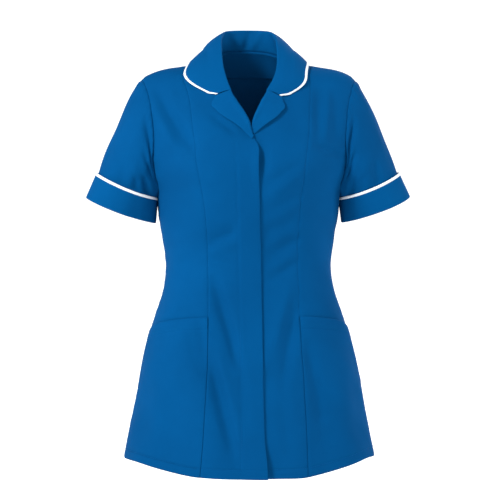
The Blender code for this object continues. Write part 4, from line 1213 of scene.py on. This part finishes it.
def collar_middle():
    """Middle surface of the folded collar and its fall's rise at each station."""
    seam, share = neck_line()
    rows = collar_rows()
    lines = {name: smooth_rows(read(smooth_line(rows, "share", name), share), LINE_PASSES)
             for name in ("roll_x", "roll_y", "roll_z", "edge_x", "turn", "crown")}
    roll = np.stack((lines["roll_x"], lines["roll_y"], lines["roll_z"]), axis=1)
    edge_x = lines["edge_x"]
    edge_turn = lines["turn"]
    tangent = unit(smooth_rows(np.gradient(roll, axis=0), LINE_PASSES))
    edge_point = dome_point(edge_x, edge_turn)
    apex = roll - (seam + edge_point) / 2
    apex = unit(smooth_rows(apex - tangent * dot(apex, tangent)[:, None], LINE_PASSES))
    out = unit(np.cross(apex, tangent))
    pivot = roll - apex * FOLD_RADIUS
    fold_start = pivot - out * FOLD_RADIUS
    columns = [seam - unit(fold_start - seam) * STAND_SEAM_TURNING]
    for i in range(1, STAND_PARTS):
        part = i / STAND_PARTS
        bow = STAND_BOW * math.sin(math.pi * part)
        columns.append(seam + (fold_start - seam) * part - out * bow)
    for i in range(FOLD_PARTS):
        turn = math.pi * i / FOLD_PARTS
        columns.append(pivot + (apex * math.sin(turn) - out * math.cos(turn)) * FOLD_RADIUS)
    foot_x, foot_turn, start_rise = dome_foot(pivot + out * FOLD_RADIUS)
    length = np.linalg.norm(edge_point - dome_point(foot_x, foot_turn), axis=-1)
    cloth_share = 1 - (PIPING_WIDTH + PIPING_GAP - PIPING_TUCK) / length
    for part in 1 - (1 - np.linspace(0, 1, FALL_PARTS)) ** 1.25:
        share = cloth_share * part
        x = foot_x + (edge_x - foot_x) * share
        turn = foot_turn + (edge_turn - foot_turn) * share
        rise = EDGE_STANDOFF + (start_rise - EDGE_STANDOFF) * (1 - share ** FALL_FULLNESS)
        rise = rise + lines["crown"] * np.sin(math.pi * share)
        columns.append(dome_point(x, turn) + dome_slopes(x, turn)[2] * rise[:, None])
    return np.stack(columns, axis=1), start_rise


def stand_creases(along, up):
    """Dents of the stand over its grid of places along and up."""
    dent = np.zeros(np.broadcast(along, up).shape)
    places = np.stack(np.broadcast_arrays(along, up * STAND_CREASE_SCALE), axis=-1)
    for crease in STAND_CREASES:
        start = (crease.along1, crease.up1 * STAND_CREASE_SCALE)
        end = (crease.along2, crease.up2 * STAND_CREASE_SCALE)
        dent += crease.height * ridge(places, start, end, crease.width)[0]
    return dent * smoothstep(0, 0.25, up) * (1 - smoothstep(0.9, 1.4, up))


def collar_grids():
    """Skins of the folded collar: the one that rests on the tunic and the one that shows."""
    middle, _ = collar_middle()
    out = grid_normals(middle)
    along = np.linspace(-1, 1, middle.shape[0])[:, None]
    places = np.arange(middle.shape[1])[None, :]
    fall = smoothstep(STAND_PARTS + FOLD_PARTS, STAND_PARTS + FOLD_PARTS + 8, places)
    wave = FALL_WAVE * np.sin(along * 19 + places * 0.11) * fall * smoothstep(1.0, 0.9, np.abs(along))
    stand = 1 - smoothstep(0, STAND_PARTS, places)
    crease = STAND_WAVE * np.sin(along * 31 + 3 * np.sin(along * 9)) * stand * smoothstep(0, 2, places)
    dents = stand_creases(along, places / STAND_PARTS)
    middle = middle - out * (wave + crease + dents)[..., None]
    from_edge = np.linalg.norm(middle - middle[:, -1:], axis=2)
    from_seam = np.linalg.norm(middle - middle[:, :1], axis=2)
    thick = COLLAR_THICK / 2 * np.ones(from_edge.shape)
    thick -= 0.00030 * rounding(from_edge, 0.0010)
    thick -= 0.00030 * rounding(from_seam, 0.0012)
    return middle + out * thick[..., None], middle - out * thick[..., None]


def collar_piping_line():
    under, upper = collar_grids()
    middle = (under + upper) / 2
    out = unit((under - upper)[:, -1])
    wide = unit(middle[:, -1] - middle[:, -4])
    centres = middle[:, -1] + wide * (PIPING_GAP + PIPING_WIDTH / 2 - PIPING_TUCK)
    return centres, wide * (PIPING_WIDTH / 2), out * (PIPING_THICKNESS / 2)


def lapel_grids(side):
    """Turned-out revers with its rounded roll, its top matched to the collar's end."""
    first = 0.0 if side < 0 else 1.0
    place = np.linspace(first, 7.0, LAPEL_ROWS)
    roll_x, roll_z, outer_x, outer_z = [read(smooth_line(LAPEL, "place", name), place)[:, None]
                                        for name in ("roll_x", "roll_height", "outer_x", "outer_height")]
    inset = 0.0 if side < 0 else LAPEL_INSET
    _, start_rise = collar_middle()
    gorge_rise = float(start_rise[-1])
    top = smoothstep(5.6, 7.0, place)[:, None]
    rolled = smoothstep(-0.4, 2.2, place - first)[:, None]
    share = (1 - (1 - np.linspace(0, 1, LAPEL_FLAT_PARTS)) ** 1.15)[None, :]
    x = roll_x + (outer_x - roll_x) * share + inset * (1 - share)
    height = roll_z + (outer_z - roll_z) * share
    level = level_at(x, height)
    angle = angle_at(x, height)
    base, normals = cloth_point(level, side * angle)
    lift = lap_lift(base) if side > 0 else 0.0
    low_rise = LAPEL_STANDOFF + 2 * LAPEL_FOLD_RADIUS * rolled * np.exp(-share / 0.24)
    low_rise = low_rise + LAPEL_EDGE_LIFT * rolled
    collar_rise = EDGE_STANDOFF + (gorge_rise - EDGE_STANDOFF) * (1 - share ** FALL_FULLNESS)
    rise = low_rise * (1 - top) + collar_rise * top + lift
    bow = 0.0007 * np.sin(math.pi * share) * rolled * (1 - top)
    flat = base + normals * (rise + bow)[..., None]
    root = base[:, 0] + normals[:, 0] * np.broadcast_to(lift, rise.shape)[:, :1]
    crown = flat[:, 0]
    centre = (root + crown) / 2
    radius = np.linalg.norm(crown - root, axis=1, keepdims=True) / 2
    way = unit(flat[:, 2] - flat[:, 0])
    up = unit(crown - root)
    way = unit(way - up * dot(way, up)[:, None])
    turns = np.linspace(0, math.pi, LAPEL_FOLD_PARTS, endpoint=False)
    fold = (centre[:, None] - (up * radius)[:, None] * np.cos(turns)[None, :, None]
            - (way * radius)[:, None] * np.sin(turns)[None, :, None])
    middle = np.concatenate((fold, flat), axis=1)
    out = grid_normals(middle) * side
    from_edge = np.linalg.norm(middle - middle[:, -1:], axis=2)
    from_top = np.linalg.norm(middle - middle[-1:], axis=2)
    thick = LAPEL_THICK / 2 - 0.0004 * rounding(from_edge, 0.0009)
    thick -= 0.00015 * rounding(from_top, 0.0012)
    return middle + out * thick[..., None], middle - out * thick[..., None]


# Stitches and zip

def stitch_run(line, normals):
    """Points and faces of a row of stitches along a line on the cloth."""
    steps = np.linalg.norm(np.diff(line, axis=0), axis=1)
    run = np.concatenate(([0], np.cumsum(steps)))
    starts = np.arange(STITCH_STEP / 2, run[-1] - STITCH_LENGTH, STITCH_STEP)
    shares = np.array((0.0, 0.25, 0.75, 1.0))
    sizes = np.array((0.35, 1.0, 1.0, 0.35))
    spots = starts[:, None] + STITCH_LENGTH * shares[None]
    place = np.stack([np.interp(spots, run, line[:, i]) for i in range(3)], axis=-1)
    up = unit(np.stack([np.interp(spots, run, normals[:, i]) for i in range(3)], axis=-1))
    along = unit(place[:, -1:] - place[:, :1])
    side = unit(np.cross(up, along))
    wide = side * (STITCH_WIDTH * sizes)[None, :, None]
    tall = up * (STITCH_HEIGHT * sizes)[None, :, None]
    ring = np.stack((place + wide, place + tall * 1.2, place - wide, place - tall), axis=2)
    count = len(starts)
    points = ring.reshape(-1, 3)
    index = np.arange(count * 16).reshape(count, 4, 4)
    near = index[:, :-1]
    far = index[:, 1:]
    faces = np.stack((near, np.roll(near, -1, axis=2), np.roll(far, -1, axis=2), far), axis=-1).reshape(-1, 4)
    caps = np.concatenate((index[:, 0, ::-1], index[:, -1]))
    return points, np.concatenate((faces, caps))


def add_stitches(name, runs, material):
    """One piece from several rows of stitches."""
    points = []
    faces = []
    base = 0
    for line, normals in runs:
        own_points, own_faces = stitch_run(line, normals)
        points.append(own_points)
        faces.append(own_faces + base)
        base += len(own_points)
    return add_mesh(name, np.concatenate(points), np.concatenate(faces).tolist(), material)


def hem_stitch_runs():
    """Hem stitches round the skirt, on the pockets in front and on the panels behind."""
    level = HEM_LEVEL + HEM_FOLD
    one = np.array((level,))
    princess = float(princess_front(one)[0])
    edge = float(front_edge(one)[0])
    back = float(princess_back(one)[0])
    gap = STITCH_END_GAP
    runs = []
    for side in (-1, 1):
        closing = edge + gap * 0.6 if side < 0 else 0.13
        runs.append((side, closing, princess - gap, 60, 0.0))
        runs.append((side, princess + gap, RIGHT_ANGLE - gap, 90, LAYER))
        runs.append((side, RIGHT_ANGLE + gap, back - gap, 90, 0.0))
    runs.append((1, back + gap, 2 * math.pi - back - gap, 120, 0.0))
    return [cloth_point(np.full(count, level), side * np.linspace(start, end, count), rise - STITCH_SINK)
            for side, start, end, count, rise in runs]


def fly_stitch_run():
    """Topstitching of the lap, parallel to its edge."""
    levels = np.linspace(HEM_LEVEL + 0.003, -0.140, 220)
    edge = front_edge(levels)
    reach = np.linalg.norm(form_point(levels, edge + 0.01) - form_point(levels, edge), axis=-1) / 0.01
    angles = -(edge + FLY_WIDTH / reach)
    return cloth_point(levels, angles, kick_lift(form_point(levels, angles)) - 0.0004)


def zip_places(levels, angles, sink):
    """Points between the two fronts, half as far out at the hem as the lap kicks."""
    points, normals = cloth_point(levels, angles)
    rise = kick_lift(form_point(levels, angles)) * 0.5 - LAYER - sink
    return points + normals * rise[..., None], normals


def zip_grid():
    levels = np.linspace(ZIP_LOW, ZIP_HIGH, 120)
    half = angle_at(np.full(120, ZIP_HALF_WIDTH), levels)
    return zip_places(levels[:, None], half[:, None] * np.linspace(-1, 1, 9)[None, :], 0.0)


def zip_teeth(material):
    """Closed moulded teeth along the tape's middle."""
    levels = np.arange(ZIP_LOW + 0.004, ZIP_HIGH - 0.004, ZIP_TOOTH_STEP)
    centres, normals = zip_places(levels, np.zeros(len(levels)), 0.0006)
    across = np.array((1.0, 0.0, 0.0))
    up = np.array((0.0, 0.0, 1.0))
    square = ((-1, -1), (1, -1), (1, 1), (-1, 1))
    box = np.array([(x, y, z) for z in (-1, 1) for x, y in square])
    quads = np.array([(0, 3, 2, 1), (4, 5, 6, 7), (0, 1, 5, 4), (1, 2, 6, 5), (2, 3, 7, 6), (3, 0, 4, 7)])
    points = []
    faces = []
    for i, (centre, normal) in enumerate(zip(centres, normals)):
        side = 0.0008 if i % 2 else -0.0008
        points.append(centre + across * side + box[:, :1] * across * 0.0022
                      + box[:, 1:2] * normal * 0.00045 + box[:, 2:] * up * 0.0009)
        faces.append(quads + 8 * i)
    return add_mesh("zip_teeth", np.concatenate(points), np.concatenate(faces).tolist(), material)


# Materials

def new_material(name, roughness, sheen):
    material = bpy.data.materials.new(name)
    material.use_nodes = True
    shader = material.node_tree.nodes["Principled BSDF"]
    values = {"Metallic": 0.0, "Roughness": roughness, "Sheen Weight": sheen, "Sheen Roughness": 0.45,
              "Sheen Tint": (0.05, 0.35, 1.0, 1.0), "Specular IOR Level": 0.015}
    for socket, value in values.items():
        shader.inputs[socket].default_value = value
    return material, material.node_tree, shader


def add_node(tree, kind, values, links=()):
    """A shader node with its numbers set; links are (node, output, socket of the new one)."""
    node = tree.nodes.new("ShaderNode" + kind)
    for socket, value in values.items():
        node.inputs[socket].default_value = value
    for source, output, socket in links:
        tree.links.new(source.outputs[output], node.inputs[socket])
    return node


def add_mix(tree, factor, scaled, added):
    """One node's output times a factor, plus another's."""
    node = add_node(tree, "Math", {1: factor}, ((*scaled, 0), (*added, 2)))
    node.operation = "MULTIPLY_ADD"
    return node


def colour_ramp(tree, shader, source, output, colours, places=(0.0, 1.0)):
    """Base colour that goes from one colour to the other with a node's output."""
    ramp = add_node(tree, "ValToRGB", {}, ((source, output, "Fac"),))
    for stop, colour, place in zip(ramp.color_ramp.elements, colours, places):
        stop.position = place
        stop.color = (*colour, 1)
    tree.links.new(ramp.outputs["Color"], shader.inputs["Base Color"])


def add_bump(tree, shader, source, output, strength, distance):
    bump = add_node(tree, "Bump", {"Strength": strength, "Distance": distance}, ((source, output, "Height"),))
    tree.links.new(bump.outputs["Normal"], shader.inputs["Normal"])


def twill_material(name, deep, light, pitch=WEAVE_PITCH):
    """Fine twill: diagonal ribs, threads of uneven shade, slow fading along the cloth."""
    material, tree, shader = new_material(name, 0.82, 0.03)
    coords = add_node(tree, "TexCoord", {})
    weave = add_node(tree, "Mapping", {"Rotation": (0.0, 0.0, math.radians(58))}, ((coords, "UV", "Vector"),))
    ribs = add_node(tree, "TexWave", {"Scale": 0.314 / pitch, "Distortion": 0.6, "Detail": 1.0},
                    ((weave, "Vector", "Vector"),))
    ribs.wave_type = "BANDS"
    ribs.bands_direction = "X"
    ribs.wave_profile = "SIN"
    threads = add_node(tree, "TexNoise", {"Scale": 900.0, "Detail": 2.0}, ((coords, "UV", "Vector"),))
    fading = add_node(tree, "TexNoise", {"Scale": 9.0, "Detail": 3.0, "Roughness": 0.55},
                      ((coords, "Object", "Vector"),))
    shade = add_mix(tree, 0.35, (threads, "Fac"), (fading, "Fac"))
    colour_ramp(tree, shader, shade, "Value", (deep, light), (0.45, 0.90))
    rough = add_node(tree, "MapRange", {"To Min": 0.72, "To Max": 0.92}, ((threads, "Fac", "Value"),))
    tree.links.new(rough.outputs["Result"], shader.inputs["Roughness"])
    relief = add_mix(tree, 0.5, (threads, "Fac"), (ribs, "Fac"))
    add_bump(tree, shader, relief, "Value", 0.35, 0.00012)
    return material


def noisy_material(name, roughness, noise_values, colours, places=(0.0, 1.0)):
    """Plain material whose colour varies finely, with the noise that drives it."""
    material, tree, shader = new_material(name, roughness, 0.1)
    coords = add_node(tree, "TexCoord", {})
    noise = add_node(tree, "TexNoise", noise_values, ((coords, "Object", "Vector"),))
    colour_ramp(tree, shader, noise, "Fac", colours, places)
    return material, tree, shader, noise


def piping_material(name):
    """Smooth white bias strip, faintly uneven."""
    material, tree, shader, noise = noisy_material(name, 0.6, {"Scale": 260.0, "Detail": 3.0},
                                                   (WHITE_SHADED, WHITE), (0.0, 0.6))
    add_bump(tree, shader, noise, "Fac", 0.3, 0.0001)
    return material


def thread_material(name, colour, roughness=0.6):
    colours = [tuple(share * part for part in colour) for share in (0.75, 1.15)]
    return noisy_material(name, roughness, {"Scale": 700.0}, colours)[0]


# Camera, light and floor

def make_camera():
    data = bpy.data.cameras.new("camera")
    data.sensor_width = 36.0
    data.lens = 36.0 * CAMERA_DISTANCE / VIEW_WIDTH
    camera = bpy.data.objects.new("camera", data)
    x = CAMERA_DISTANCE * math.sin(CAMERA_TURN)
    y = -CAMERA_DISTANCE * math.cos(CAMERA_TURN)
    aimed(camera, (x, y, CAMERA_HEIGHT), AIM)
    bpy.context.scene.camera = camera


def aimed(thing, place, target):
    """Puts a camera or a light at a place, turned to its target, in the scene."""
    thing.location = place
    thing.rotation_euler = (Vector(target) - Vector(place)).to_track_quat("-Z", "Y").to_euler()
    bpy.context.scene.collection.objects.link(thing)


def area_light(row):
    data = bpy.data.lights.new(row.name, "AREA")
    data.shape = "DISK"
    data.size = row.size
    data.energy = row.power
    aimed(bpy.data.objects.new(row.name, data), row.place, row.target)


def make_stage():
    """Pale floor, level round the tunic and curving up far from it, under a soft studio light."""
    bpy.context.scene.view_settings.view_transform = "Standard"
    rises = np.linspace(0, RIGHT_ANGLE, 24)
    level_part = np.linspace(0.002, FLOOR_FLAT, 8)[:-1]
    radius = np.concatenate((level_part, FLOOR_FLAT + FLOOR_CURVE * np.sin(rises)))
    height = np.concatenate((np.zeros(7), FLOOR_CURVE * (1 - np.cos(rises)))) + FLOOR_HEIGHT
    turns = np.linspace(0, 2 * math.pi, FLOOR_TURNS, endpoint=False)
    rings = np.stack((radius[:, None] * np.cos(turns), radius[:, None] * np.sin(turns),
                      np.repeat(height[:, None], FLOOR_TURNS, axis=1)), axis=-1)
    index = np.arange(len(radius) * FLOOR_TURNS).reshape(len(radius), FLOOR_TURNS)
    after = np.roll(index, -1, axis=1)
    faces = np.stack((index[:-1], index[1:], after[1:], after[:-1]), axis=-1).reshape(-1, 4)
    mesh = bpy.data.meshes.new("floor")
    mesh.from_pydata(rings.reshape(-1, 3).tolist(), [], faces.tolist() + [index[0].tolist()])
    mesh.shade_smooth()
    floor = bpy.data.objects.new("floor", mesh)
    material, _, shader = new_material("floor_paint", 0.9, 0.0)
    shader.inputs["Base Color"].default_value = (FLOOR_GREY, FLOOR_GREY, FLOOR_GREY, 1)
    shader.inputs["Emission Color"].default_value = (1.0, 1.0, 1.0, 1)
    shader.inputs["Emission Strength"].default_value = FLOOR_GLOW
    mesh.materials.append(material)
    bpy.context.scene.collection.objects.link(floor)
    for row in LIGHTS:
        area_light(row)
    world = bpy.data.worlds.new("studio")
    bpy.context.scene.world = world
    world.use_nodes = True
    background = world.node_tree.nodes["Background"]
    background.inputs["Color"].default_value = (1.0, 1.0, 1.0, 1)
    background.inputs["Strength"].default_value = WORLD_STRENGTH


# Assembly

def fitted(piece, node):
    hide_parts(node)
    return piece


def declare_sheet(piece, node):
    """Hides the imported part of the node that a sheet stands in for."""
    fitted(piece, node)


def cloth_piece(node, skins, material, closed=False):
    piece = add_shell(node + "_cloth", *skins, material, closed)
    declare_sheet(piece, node)


def piping(node, line, material, closed):
    return fitted(add_cord(node + "_cord", *line, material, closed), node)


def build_side(word, side, levels, body, turned, white):
    """The pieces of one side of the tunic."""
    cloth_piece("front_centre_" + word, shell_of(*front_centre_grid(side, levels)), body)
    cloth_piece("front_side_" + word, shell_of(*front_side_grid(side, levels)), body)
    cloth_piece("back_side_" + word, shell_of(*back_side_grid(side, levels)), body)
    cloth_piece("pocket_" + word, shell_of(*pocket_grid(side)), body)
    cloth_piece("sleeve_" + word, sleeve_grids(side), body, closed=True)
    cord = piping("cuff_piping_" + word, cuff_piping_line(side), white, True)
    cloth_piece("cuff_" + word, cuff_grids(side)[:2], turned,
                closed=True)
    cloth_piece("lapel_" + word, lapel_grids(side), turned)


def build():
    make_camera()
    make_stage()
    body = twill_material("tunic_twill", BLUE_DEEP, BLUE)
    turned = twill_material("turned_twill", BLUE, BLUE_WORN)
    thread = thread_material("stitch_thread", THREAD_BLUE)
    white = piping_material("piping_white")
    tape = twill_material("zip_tape_weave", TAPE_DEEP, TAPE_BLUE, pitch=TAPE_PITCH)
    tooth = thread_material("zip_tooth_plastic", TOOTH_BLUE, 0.4)
    levels = hem_levels(torso_levels())
    fly = add_stitches("fly_stitches", [fly_stitch_run()], thread)
    hem = add_stitches("hem_stitches", hem_stitch_runs(), thread)
    for word, side in (("right", -1), ("left", 1)):
        build_side(word, side, levels, body, turned, white)
    cloth_piece("back_centre", shell_of(*back_centre_grid(levels)), body)
    cloth_piece("back_neck_facing", shell_of(*facing_grid()), body)
    cord = piping("collar_piping", collar_piping_line(), white, False)
    cloth_piece("collar", collar_grids(), turned)
    points, normals = zip_grid()
    strip = add_shell("zip_tape_cloth", points, points - normals * ZIP_TAPE_THICKNESS, tape)
    teeth = zip_teeth(tooth)
    declare_sheet(strip, "zip")


build()
